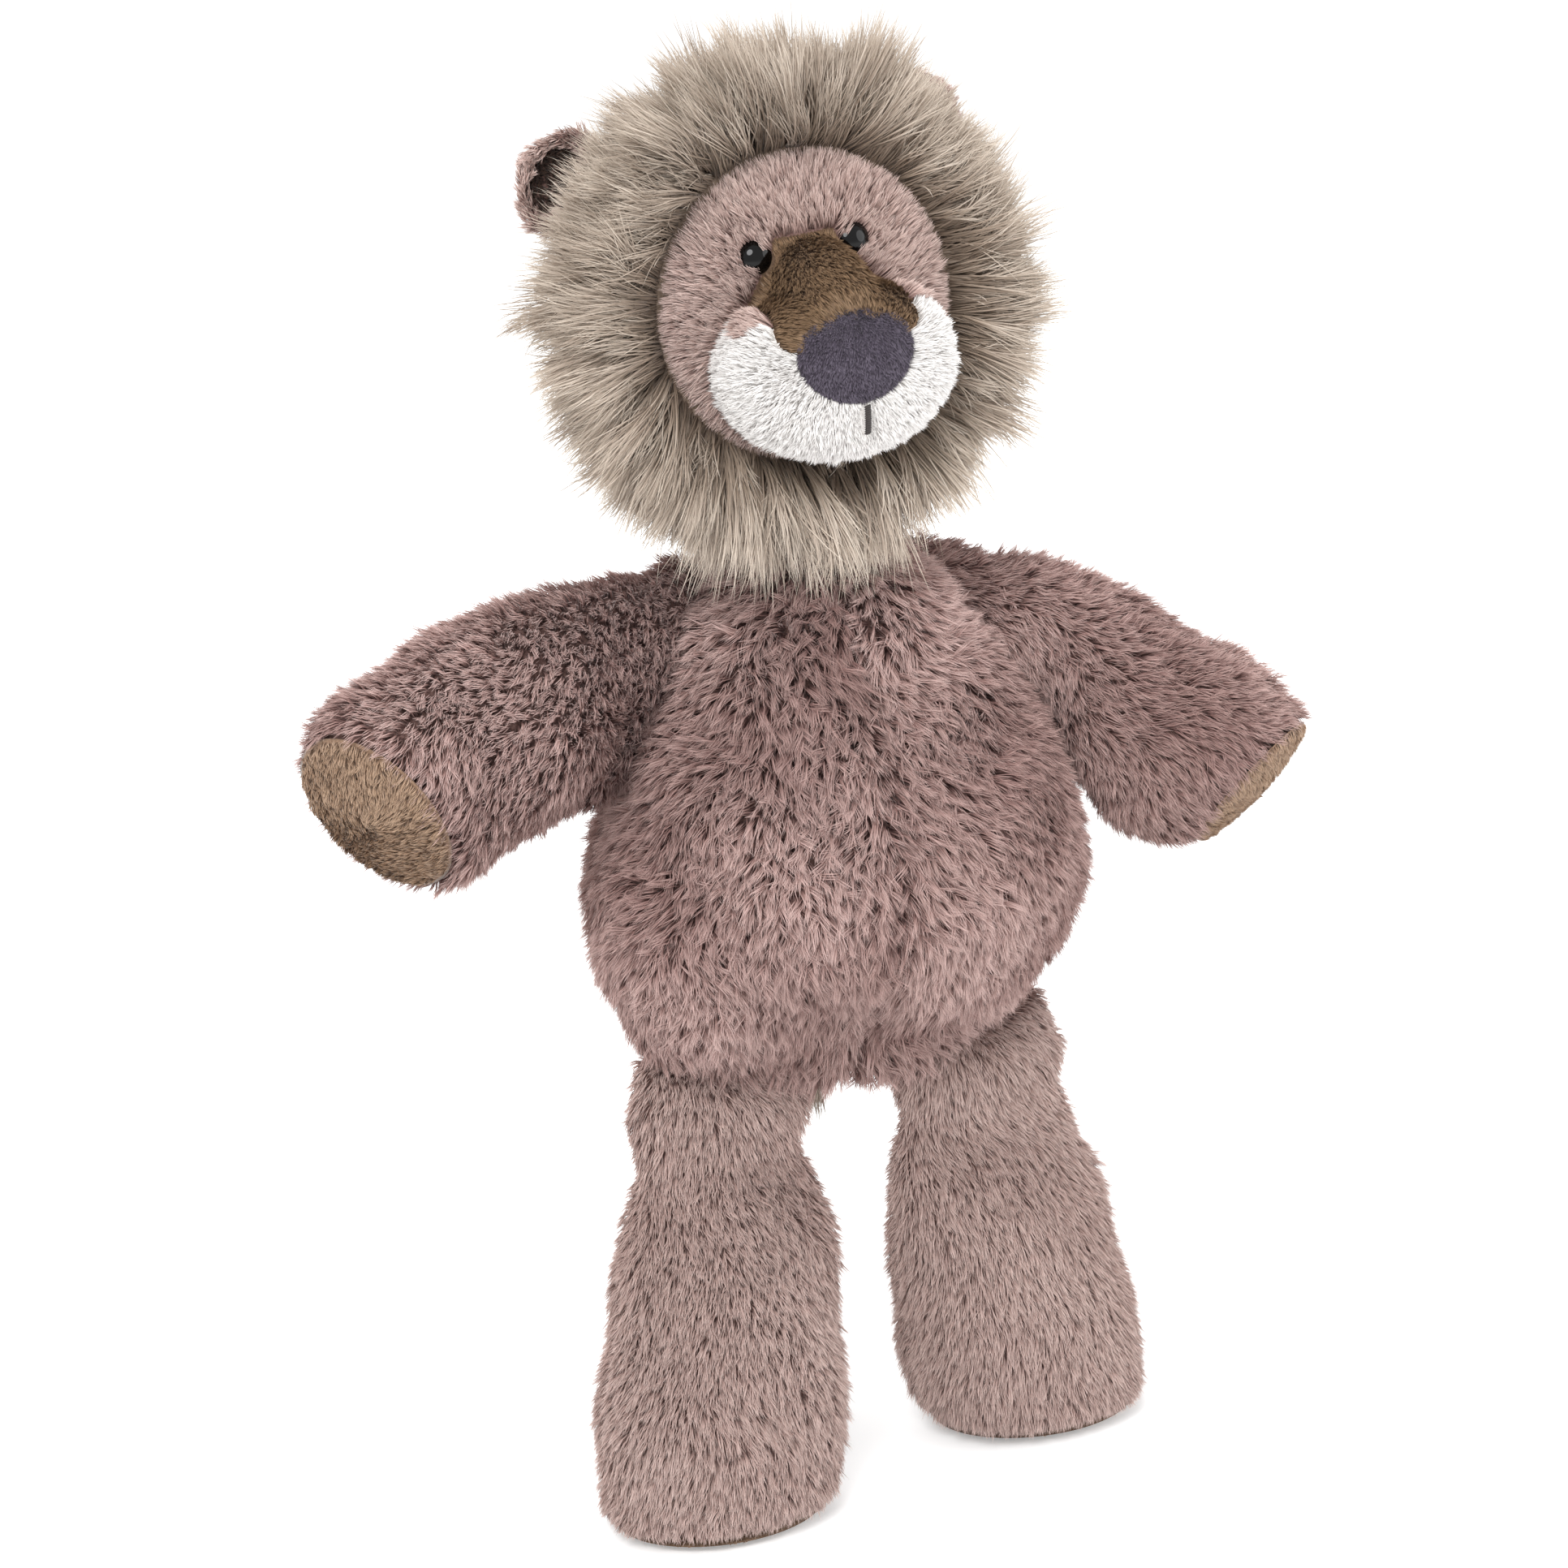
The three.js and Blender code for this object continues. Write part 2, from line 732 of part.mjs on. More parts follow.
function bridgeShape(clearance) {
  const top = ridgeHeight + overrun;
  const halfTop = bridgeHalfTop + clearance;
  const halfLow = bridgeHalfLow + clearance;
  const low = bridgeLow - clearance;
  const corner = low + bridgeCornerRadius;
  const shape = new THREE.Shape();
  shape.moveTo(-halfTop, top);
  shape.lineTo(-halfLow, corner);
  shape.quadraticCurveTo(-halfLow, low, -halfLow + bridgeCornerRadius, low);
  shape.lineTo(halfLow - bridgeCornerRadius, low);
  shape.quadraticCurveTo(halfLow, low, halfLow, corner);
  shape.lineTo(halfTop, top);
  return shape;
}

// The muzzle's upper sides, where the face's cloth runs on
function cheekShape(clearance) {
  const top = ridgeHeight + overrun;
  const side = muzzleHalfWidth + overrun;
  const shape = new THREE.Shape();
  shape.moveTo(-side, top);
  shape.lineTo(-side, cheekSideLow - clearance);
  shape.lineTo(-bridgeHalfLow, cheekLow - clearance);
  shape.lineTo(bridgeHalfLow, cheekLow - clearance);
  shape.lineTo(side, cheekSideLow - clearance);
  shape.lineTo(side, top);
  return shape;
}

function buildMuzzlePieces(outerForm, innerForm) {
  const front = muzzleTip - overrun;
  const noseCut = prismThroughMuzzle(noseShape(0), front, noseBack);
  const noseOpening = prismThroughMuzzle(noseShape(seamGap), front, noseBack + seamGap);
  const bridgeCut = prismThroughMuzzle(bridgeShape(0), front, muzzleRoot);
  const bridgeOpening = prismThroughMuzzle(bridgeShape(seamGap), front, muzzleRoot);
  const skin = outerForm.subtract(innerForm);
  const mouthTop = noseLow - seamGap;
  const mouthSize = (grow) => [
    new THREE.Vector3(-mouthWidth / 2 - grow, front, -muzzleDrop + mouthTop - mouthLength - grow),
    new THREE.Vector3(mouthWidth / 2 + grow, noseBack, -muzzleDrop + mouthTop + grow),
  ];
  const stitchSkin = loft(inset(muzzleRings(), -mouthStand), headSides).subtract(
    loft(inset(muzzleRings(), mouthStand), headSides),
  );
  const stitch = stitchSkin.intersect(blockBetween(...mouthSize(0)));
  const stitchGroove = loft(inset(muzzleRings(), -overrun), headSides)
    .subtract(loft(inset(muzzleRings(), mouthStand + seamGap), headSides))
    .intersect(blockBetween(...mouthSize(seamGap)));
  const nose = skin.intersect(noseCut);
  const open = skin.subtract(noseOpening);
  const bridge = open.intersect(bridgeCut);
  const beside = open.subtract(bridgeOpening);
  const cheeks = beside.intersect(prismThroughMuzzle(cheekShape(0), front, muzzleRoot));
  const cheekOpening = prismThroughMuzzle(cheekShape(seamGap), front, muzzleRoot);
  const white = beside.subtract(cheekOpening).subtract(stitchGroove);
  return { nose, bridge, cheeks, white, stitch };
}

// Eyes: a domed button on a shank, held by a washer behind the face panel
function eyeFrame(side) {
  const point = new THREE.Vector3(side * eyeSpread, 0, eyeRise);
  point.y = faceBallY - Math.sqrt(faceBall ** 2 - point.x ** 2 - point.z ** 2);
  const outward = point.clone().sub(new THREE.Vector3(0, faceBallY, 0)).normalize();
  const turn = new THREE.Quaternion().setFromUnitVectors(plusY, outward);
  return new THREE.Matrix4().compose(point, turn, new THREE.Vector3(1, 1, 1));
}

// The washer's rim meets the hollow side of the face panel first.
const faceHollow = faceBall - clothWall;
const washerSag = faceHollow - Math.sqrt(faceHollow ** 2 - eyeWasherRadius ** 2);
const washerInner = clothWall + seamGap + washerSag;
const shankEnd = washerInner + eyeWasherThickness + eyeWasherGrip;

function eyeProfile() {
  const points = [new THREE.Vector2(0, -shankEnd), new THREE.Vector2(eyeShankRadius, -shankEnd)];
  points.push(new THREE.Vector2(eyeShankRadius, seamGap));
  for (let k = 0; k <= smallSides / 4; k++) {
    const angle = (2 * Math.PI * k) / smallSides;
    points.push(new THREE.Vector2(eyeRadius * Math.cos(angle), seamGap + eyeDome * Math.sin(angle)));
  }
  points.at(-1).x = 0;
  return points;
}

function eyeSolid(side) {
  return placed(solidOf(new THREE.LatheGeometry(eyeProfile(), smallSides)), eyeFrame(side));
}

function washerSolid(side) {
  const hole = eyeShankRadius + seamGap;
  const deep = -washerInner - eyeWasherThickness;
  const outerEdge = [[eyeWasherRadius, deep], [eyeWasherRadius, -washerInner]];
  const corners = [[hole, deep], ...outerEdge, [hole, -washerInner], [hole, deep]];
  const profile = corners.map(([r, y]) => new THREE.Vector2(r, y));
  return placed(solidOf(new THREE.LatheGeometry(profile, smallSides)), eyeFrame(side));
}

function disc(radius, from, to) {
  const geometry = new THREE.CylinderGeometry(radius, radius, to - from, smallSides);
  return solidOf(geometry.translate(0, (from + to) / 2, 0));
}

function eyePocket(side) {
  const washerPocket = disc(eyeWasherRadius + seamGap, -washerInner - eyeWasherThickness - seamGap, 0);
  const shankHole = disc(eyeShankRadius + seamGap, -shankEnd - seamGap, overrun);
  return placed(washerPocket.add(shankHole), eyeFrame(side));
}

function shankHoleIn(side) {
  return placed(disc(eyeShankRadius + seamGap, -shankEnd, overrun), eyeFrame(side));
}

// Mane: a ring of packed long pile, shorter under the chin
function maneRing() {
  const positions = [];
  const index = [];
  const root = faceRadius - clothWall - overrun;
  const tipMiddle = (faceFront + maneBackSeam) / 2 + maneFrontLean / 2;
  for (let k = 0; k < headSides; k++) {
    const angle = (2 * Math.PI * k) / headSides;
    const below = THREE.MathUtils.smoothstep(-Math.sin(angle), 0, 1);
    const tip = THREE.MathUtils.lerp(maneReach, maneReachBelow, below);
    const shoulder = (tip + headHalfWidth) / 2;
    const section = [
      [faceFront + seamGap, root],
      [faceFront + seamGap, faceRadius - seamGap],
      [faceFront - maneFrontLean, (faceRadius + shoulder) / 2],
      [tipMiddle - maneTipHalf, tip - maneTipHalf],
      [tipMiddle, tip],
      [tipMiddle + maneTipHalf, tip - maneTipHalf / 2],
      [maneBackSeam + maneBackLean, Math.min(tip - maneTipHalf, headHalfWidth + maneBackLean)],
      [maneBackSeam - seamGap, Math.min(tip - maneTipHalf, headHalfWidth) - clothWall / 2],
      [maneBackSeam - seamGap, root],
    ];
    for (const [y, radius] of section) {
      positions.push(radius * Math.cos(angle), y, radius * Math.sin(angle));
    }
  }
  const width = positions.length / (3 * headSides);
  for (let k = 0; k < headSides; k++) {
    const next = (k + 1) % headSides;
    for (let j = 0; j < width; j++) {
      const beyond = (j + 1) % width;
      const [a, b] = [k * width + j, k * width + beyond];
      const [c, d] = [next * width + beyond, next * width + j];
      index.push(a, b, c, a, c, d);
    }
  }
  const geometry = new THREE.BufferGeometry();
  geometry.setAttribute("position", new THREE.BufferAttribute(new Float32Array(positions), 3));
  geometry.setIndex(index);
  return solidOf(geometry);
}

// Ears: a cup of plush with a dark lining, sewn behind the mane
function earFrame(side) {
  const angle = degToRad(earAngleDeg);
  const outward = new THREE.Vector3(side * Math.cos(angle), 0, Math.sin(angle));
  const across = new THREE.Vector3(-side * Math.sin(angle), 0, Math.cos(angle));
  const frame = new THREE.Matrix4().makeBasis(across, plusY, outward);
  return frame.setPosition(outward.multiplyScalar(earRootRadius).add(new THREE.Vector3(0, earY, 0)));
}

function earRings() {
  const rings = domeAnglesDeg.map((deg) => {
    const angle = degToRad(deg);
    return ring(
      new THREE.Vector3(0, 0, -earHemRadius * Math.sin(angle)),
      plusX,
      plusY,
      (earHalfWidth / 2) * Math.cos(angle),
      earHemRadius * Math.cos(angle),
    );
  });
  for (const { x, y } of outline(earShares, earShares.length + 1)) {
    const middle = new THREE.Vector3(0, 0, earLength * x);
    rings.push(ring(middle, plusX, plusY, earHalfWidth * y, (earThickness * (1 + y)) / 4));
  }
  return rings;
}

// The ear's outline as a prism along Y, drawn in by a margin
function earPrism(margin) {
  const rings = outline(earShares, earShares.length + 1).map(({ x, y }) => {
    const height = THREE.MathUtils.lerp(earHemRadius + margin, earLength - margin, x);
    const halfWidth = (earHalfWidth - margin) * y;
    return ring(new THREE.Vector3(0, 0, height), plusX, plusY, halfWidth, earThickness);
  });
  return loft(rings, smallSides);
}

function buildEar(name, side) {
  const pocket = earPrism(earRim).subtract(halfSpace("y", 0, 1));
  const shell = loft(earRings(), smallSides).subtract(pocket);
  const lining = earPrism(earRim + seamGap)
    .subtract(halfSpace("y", -seamGap, 1))
    .subtract(halfSpace("y", -seamGap - earLiningThickness, -1));
  const group = new THREE.Group();
  group.applyMatrix4(earFrame(side));
  group.add(
    piece(`${name}_outer`, shell, mauvePlush),
    piece(`${name}_lining`, lining, brownPlush),
    marker(`${name}_joint`, plusX),
  );
  return group;
}

function earSeat(side) {
  const seat = ball([earHalfWidth / 2 + jointGap, earHemRadius + jointGap, earHemRadius + jointGap], smallSides);
  return placed(seat, earFrame(side));
}

// Head: back panel, face panel, muzzle and mane round one filling
function buildHead() {
  const rings = headRings();
  const sides = [1, -1];
  const closed = (form, depth) => form.add(faceCap(depth));
  const outerHead = loft(rings, headSides);
  const innerHead = loft(inset(rings, clothWall), headSides);
  const coreHead = closed(loft(inset(rings, clothWall + seamGap), headSides), clothWall + seamGap);
  const muzzleOpening = muzzleForm(-seamGap);
  const neckInHeadFrame = new THREE.Matrix4().makeTranslation(0, 0, -headMiddle);
  const neckSeat = placed(neckForm(jointGap), neckInHeadFrame);
  const cut = (solid, tools) => tools.reduce((left, tool) => left.subtract(tool), solid);

  const eyePockets = sides.map(eyePocket);
  const face = cut(faceCap(0).subtract(faceCap(clothWall)).subtract(halfSpace("y", faceFront - seamGap, 1)), [
    muzzleOpening,
    ...sides.map(shankHoleIn),
  ]);
  const back = cut(outerHead.subtract(innerHead).subtract(halfSpace("y", maneBackSeam, -1)), [
    neckSeat,
    ...sides.map(earSeat),
  ]);
  const fill = cut(coreHead.add(muzzleForm(clothWall + seamGap)), [neckSeat, ...eyePockets, ...sides.map(earSeat)]);
  const backOfSeam = halfSpace("y", maneBackSeam - seamGap, 1);
  const mane = cut(maneRing(), [
    loft(inset(rings, -seamGap), headSides).intersect(backOfSeam),
    closed(innerHead, clothWall),
    muzzleOpening,
    neckSeat,
    ...sides.map(earSeat),
  ]);
  const muzzleSkin = muzzleForm(0).subtract(closed(innerHead, 0));
  const { nose, bridge, cheeks, white, stitch } = buildMuzzlePieces(muzzleSkin, muzzleForm(clothWall));

  const group = new THREE.Group();
  group.position.z = headLift;
  const joint = marker("head_joint", plusX);
  joint.position.z = -headLift;
  group.add(
    piece("head_back_panel", back, mauvePlush),
    piece("face_panel", face, mauvePlush),
    piece("mane_strip", mane, greyMane),
    piece("muzzle_white_panel", white, whitePlush),
    piece("muzzle_bridge_panel", bridge, bronzePlush),
    piece("nose_patch", nose, nosePlush),
    piece("mouth_stitch", stitch, stitchThread),
    piece("head_filling", fill, filling),
    joint,
    buildEar("ear_left", 1),
    buildEar("ear_right", -1),
  );
  for (const [name, side] of [["left", 1], ["right", -1]]) {
    group.add(
      piece(`cheek_${name}_panel`, cheeks.intersect(halfSpace("x", 0, side)), mauvePlush),
      piece(`eye_${name}`, eyeSolid(side), blackPlastic),
      piece(`eye_washer_${name}`, washerSolid(side), washerPlastic),
    );
  }
  const tilted = new THREE.Group();
  tilted.position.z = neckHeight;
  tilted.rotation.y = -degToRad(headTiltDeg);
  tilted.add(group);
  return tilted;
}

// Tail: a stuffed tube with a tuft, hanging from the centre back seam
function buildTail() {
  const down = plusZ.clone().negate();
  const acrossTail = plusX.clone().negate();
  const rings = domeRings(tailRootRadius, tailRootRadius, acrossTail, plusY, down);
  rings.push(ring(new THREE.Vector3(), acrossTail, plusY, tailRootRadius, tailRootRadius));
  rings.push(ring(new THREE.Vector3(0, 0, -tailRootRadius), acrossTail, plusY, tailRadius, tailRadius));
  rings.push(ring(new THREE.Vector3(0, 0, -tailLength), acrossTail, plusY, tailRadius, tailRadius));
  const tube = loft(rings, smallSides);
  const tuftRings = outline(tuftShares, tuftShares.length + 1).map(({ x, y }) => {
    const height = -tailLength + tuftOverlap - tuftLength * x;
    return ring(new THREE.Vector3(0, 0, height), acrossTail, plusY, tuftRadius * y, tuftRadius * y);
  });
  const bore = loft(
    rings.slice(-2).map((one) => ({
      ...one,
      centre: one.centre.clone().setZ(one.centre.z - seamGap),
      halfAcross: tailRadius + seamGap,
      halfThrough: tailRadius + seamGap,
    })),
    smallSides,
  );
  const tuft = loft(tuftRings, smallSides).subtract(bore);
  const group = new THREE.Group();
  group.position.copy(tailRoot());
  group.add(
    piece("tail_tube", tube, mauvePlush),
    piece("tail_tuft", tuft, greyMane),
    marker("tail_joint", plusX),
  );
  return group;
}

// The toy, moved so that its box is centred over the origin
const toy = new THREE.Group();
toy.add(
  buildTorso(),
  buildNeck(),
  buildHead(),
  buildArm("arm_left", leftArm),
  buildArm("arm_right", rightArm),
  buildLeg("leg_left", 1),
  buildLeg("leg_right", -1),
  buildTail(),
);
toy.updateMatrixWorld(true);
const middle = new THREE.Box3().setFromObject(toy, true).getCenter(new THREE.Vector3());
toy.position.set(-middle.x, -middle.y, 0);

export default toy;
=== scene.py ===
"""A floppy stuffed lion. Lengths are in millimetres until a mesh is made, and then in metres."""
import json
import math

import bpy
import numpy as np
from mathutils import Matrix, Vector
from mathutils.bvhtree import BVHTree
from mathutils.kdtree import KDTree


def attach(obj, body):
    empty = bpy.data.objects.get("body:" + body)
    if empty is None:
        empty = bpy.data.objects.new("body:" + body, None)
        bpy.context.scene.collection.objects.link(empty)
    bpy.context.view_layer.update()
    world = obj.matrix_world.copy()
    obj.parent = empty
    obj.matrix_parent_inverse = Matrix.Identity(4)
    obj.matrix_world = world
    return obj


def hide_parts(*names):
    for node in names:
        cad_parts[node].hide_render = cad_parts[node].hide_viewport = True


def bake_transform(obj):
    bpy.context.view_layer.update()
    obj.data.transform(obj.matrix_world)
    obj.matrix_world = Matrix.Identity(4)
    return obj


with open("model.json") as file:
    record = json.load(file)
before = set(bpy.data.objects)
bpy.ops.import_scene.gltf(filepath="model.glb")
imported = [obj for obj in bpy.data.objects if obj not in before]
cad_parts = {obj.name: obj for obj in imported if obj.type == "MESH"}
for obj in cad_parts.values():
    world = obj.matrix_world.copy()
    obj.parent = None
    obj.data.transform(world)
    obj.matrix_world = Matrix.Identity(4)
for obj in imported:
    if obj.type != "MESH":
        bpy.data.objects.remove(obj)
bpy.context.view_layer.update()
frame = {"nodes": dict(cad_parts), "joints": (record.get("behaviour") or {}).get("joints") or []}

MM = 0.001

# Driving dimensions, as the solids have them
TORSO_BOTTOM, TORSO_HEIGHT = 95.0, 130.0
BELLY_HALF_WIDTH, BELLY_HALF_DEPTH, BELLY_FORWARD = 60.0, 44.0, 3.0
HIP_HEIGHT, HIP_SPREAD = 94.4, 30.0
HIP_SEAM_HALF, HIP_ROOT_RADIUS, HIP_RISE = 21.0, 8.5, 13.0
FOOT_SPREAD = {"left": 44.0, "right": 43.5}
FOOT_HALF_WIDTH, FOOT_HALF_DEPTH = 29.5, 27.0
STRIDE = 10.0
SHOULDER_HEIGHT, SHOULDER_STANDOFF = 195.0, 2.0
ARM_SEAM_HALF, ARM_ROOT_RADIUS = 31.0, 9.0
ARM_LENGTH, ARM_HALF_WIDTH, ARM_HALF_DEPTH = 77.0, 29.0, 21.0
ARMS = {
    "left": dict(side=1, start_droop=62.0, end_droop=70.0, forward=26.0, paw_turn=27.0, paw_share=0.78),
    "right": dict(side=-1, start_droop=22.0, end_droop=58.0, forward=24.0, paw_turn=20.0, paw_share=0.92),
}
NECK_HEIGHT, HEAD_LIFT, HEAD_TILT_DEG = 230.0, 47.0, 3.0
HEAD_HALF_WIDTH, HEAD_HALF_HEIGHT, HEAD_BACK_DEPTH, HEAD_FORWARD = 45.0, 46.0, 36.0, -2.0
FACE_RADIUS, FACE_FRONT, FACE_BULGE = 34.5, -21.0, 9.0
MANE_BACK_SEAM = -7.0
MUZZLE_HALF_WIDTH, MUZZLE_HALF_HEIGHT, MUZZLE_DROP = 27.0, 20.5, 12.0
MUZZLE_TIP, MUZZLE_ROOT = -51.0, -17.0
BRIDGE_HALF_LOW, BRIDGE_LOW, BRIDGE_CORNER = 16.4, 6.5, 4.0
BRIDGE_SIDE = [(15.4, 14.0), (12.5, 18.5), (9.6, 22.5), (7.7, 25.5), (7.0, 28.0)]
RIDGE_HALF_WIDTH, RIDGE_HEIGHT, RIDGE_TIP = 13.0, 29.0, -47.0
CHEEK_LOW, CHEEK_SIDE_LOW = 12.0, 4.0
NOSE_HALF_WIDTH, NOSE_TOP, NOSE_LOW, NOSE_CORNER = 13.5, 13.0, -6.5, 4.5
NOSE_SIDE_SHARE, NOSE_CHIN_SHARE, NOSE_ARCH = 0.34, 0.62, 1.6
MOUTH_LENGTH, MOUTH_WIDTH = 6.0, 1.3
EYE_SPREAD, EYE_RISE, EYE_RADIUS, EYE_DOME, EYE_SUNK = 11.8, 13.0, 3.9, 2.7, 2.3
EAR_ANGLE_DEG, EAR_ROOT_RADIUS, EAR_Y = 37.0, 44.5, 6.0
EAR_HALF_WIDTH, EAR_LENGTH, EAR_THICKNESS, EAR_RIM = 13.0, 21.0, 6.0, 3.4
TAIL_HEIGHT, TAIL_RADIUS, TAIL_LENGTH, TAIL_STANDOFF = 130.0, 4.2, 42.0, 2.5
TUFT_OVERLAP = 8.0

TORSO_SHARES = [
    (0, 0.5, 0.08), (0.06, 0.72, 0.22), (0.16, 0.9, 0.52), (0.27, 0.98, 0.84), (0.38, 1, 1),
    (0.52, 0.93, 0.97), (0.68, 0.76, 0.84), (0.82, 0.58, 0.68), (0.93, 0.42, 0.5), (1, 0.3, 0.37),
]
LEG_SHARES = [(0.12, 0.82, 0.31), (0.3, 0.93, 0.62), (0.55, 0.98, 0.94), (0.85, 1, 1), (1, 0.9, 0.9)]
ARM_SHARES = [(0.16, 1.04, 0.58), (0.4, 1.02, 0.94), (0.7, 1, 1), (0.92, 0.98, 0.98), (1, 0.93, 0.92)]
HEAD_SHARES = [(0, 0.3), (0.1, 0.64), (0.26, 0.87), (0.5, 0.99), (0.68, 1), (0.85, 0.91), (1, 0.74)]
MUZZLE_SHARES = [
    (0, 0.84, 0.84), (0.35, 0.96, 0.96), (0.65, 1, 1),
    (0.82, 0.93, 0.93), (0.94, 0.73, 0.74), (1, 0.46, 0.48),
]
RIDGE_SHARES = [(0, 1, 1), (0.4, 1, 0.98), (0.7, 0.98, 0.89), (1, 0.86, 0.68)]
EAR_SHARES = [(0.1, 0.78), (0.35, 0.98), (0.6, 0.98), (0.82, 0.74), (1, 0.3)]

# Pile: how deep the backing lies under the outline, and how thick the strands stand
BACKING_DEPTH = 3.4
SEAM_DEPTH = 0.6
SKIN_GIVE = 1.6
SEAM_PILE_SHARE, SEAM_PILE_REACH = 0.6, 3.0
DENSITY_SHARE = 1.0
LENGTH_SHARES, WIDTH_SHARES = (0.75, 1.05), (0.75, 1.25)
ROWS, COLUMNS = 72, 96
SEED, FOLD_DRAWS, PLACE_DRAWS = 20310, 3, 7

# How strands turn in their plane: over whole areas, lock by lock and one by one
AREA_TURN, LOCK_TURN, STRAND_TURN, TURN_SIZE = 0.7, 0.45, 0.1, 16.0
LOCK_LEAN, LEAN_LIMITS = 0.1, (0.05, 1.1)
PULL_POWER, FACING_SPREAD = 1.4, 0.7
PATCH_SIZE, TONE_LIMITS, TONE_ACROSS, MAP_LIMITS = 28.0, (0.03, 0.97), 0.01, (0.005, 0.995)
SWIRL_WAVES, SWIRL_GAIN = 6, 1.8

# Skins: the filling's push on the cloth, its folds, half the width held at a seam, and the forms' fineness
INSET_OVER = 11.0
CLOTH_CELL, CLOTH_FRAMES, CLOTH_QUALITY = 4.5, 20, 5
FILLING_PRESSURE, CLOTH_STIFFNESS, CLOTH_BENDING = 4.0, 5.0, 0.05
FOLD_SIZES = (1.0, 0.5)
FOLDS = dict(
    torso=dict(depth=2.1, size=26.0),
    arm=dict(depth=1.7, size=20.0),
    leg=dict(depth=1.1, size=24.0),
)
SEWN = dict(torso=2.4, arm=2.2, leg=2.2)
ROOT_ROWS, ROOT_TIP_DEG = 8, 80.0
HIP_RISE_FROM, HIP_RISE_OVER, HIP_RISE_POWER = 6.0, 34.0, 1.5
FACE_INSET, MUZZLE_INSET, FACE_MIDDLE, FACE_CELL, FACE_SMOOTHING = 1.6, 2.4, 0.01, 0.8, 24
PARTING_RISE = 3.0
MUZZLE_TIP_ROUNDING, MUZZLE_TIP_END = 0.03, 0.05
RIDGE_ROWS, RIDGE_SIDES, RIDGE_SQUARENESS = 24, 48, 0.7
OUTLINE_STEPS, NOSE_CORNER_REACH, CHEEK_BEYOND = 16, 1.8, 6.0

X, Y, Z = np.eye(3)
ORIGIN = np.array([0.0, 0.0, 0.0])
for joint in frame["joints"]:
    if joint["name"] == "neck_joint":
        ORIGIN = np.array(joint["pos_m"]) / MM - NECK_HEIGHT * Z


def unit(vectors):
    return vectors / np.maximum(np.linalg.norm(vectors, axis=-1, keepdims=True), 1e-9)


def along_surface(ways, normals):
    return unit(ways - normals * np.sum(normals * ways, 1, keepdims=True))


def vertex_normals(points, triangles):
    a, b, c = (points[triangles[:, k]] for k in range(3))
    faces = np.cross(b - a, c - a)
    normals = np.zeros_like(points)
    for k in range(3):
        np.add.at(normals, triangles[:, k], faces)
    return unit(normals)


def smooth_table(shares, steps):
    """Shares at even steps along a form, on a smooth line through the chosen ones."""
    table = np.array([(row[0], row[1], row[-1]) for row in shares], float)
    along = table[:, 0]
    slopes = np.gradient(table[:, 1:], along, axis=0)
    at = np.linspace(along[0], along[-1], steps)
    left = np.clip(np.searchsorted(along, at, side="right") - 1, 0, len(along) - 2)
    gap = (along[left + 1] - along[left])[:, None]
    t = ((at - along[left])[:, None]) / gap
    start, end = table[left, 1:], table[left + 1, 1:]
    bends = (
        (2 * t**3 - 3 * t**2 + 1) * start
        + (t**3 - 2 * t**2 + t) * gap * slopes[left]
        + (3 * t**2 - 2 * t**3) * end
        + (t**3 - t**2) * gap * slopes[left + 1]
    )
    return np.column_stack([at, bends])


class Spots:
    """Places on a surface, the outward normals there, and at each place the way the pile runs."""

    def __init__(self, points, normals, flow):
        self.points, self.normals, self.flow = points, normals, flow

    def __len__(self):
        return len(self.points)

    def kept(self, keep):
        return Spots(self.points[keep], self.normals[keep], self.flow[keep])

    def moved(self, matrix):
        turn = matrix[:3, :3]
        return Spots(self.points @ turn.T + matrix[:3, 3], self.normals @ turn.T, self.flow @ turn.T)


class Surface(Spots):
    """A skin of triangles. Normals left out are worked out, and the flow is laid along the skin."""

    def __init__(self, points, triangles, flow, normals=None):
        self.triangles = triangles
        if normals is None:
            normals = vertex_normals(points, triangles)
            flow = along_surface(flow, normals)
        super().__init__(points, normals, flow)

    def moved(self, matrix):
        spots = super().moved(matrix)
        mirrored = np.linalg.det(matrix[:3, :3]) < 0
        triangles = self.triangles[:, ::-1] if mirrored else self.triangles
        return Surface(spots.points, triangles, spots.flow, spots.normals)

    def offset(self, depth):
        points = self.points + self.normals * np.reshape(depth, (-1, 1))
        return Surface(points, self.triangles, self.flow, self.normals)

    def flowing_back(self):
        return Surface(self.points, self.triangles, -self.flow, self.normals)


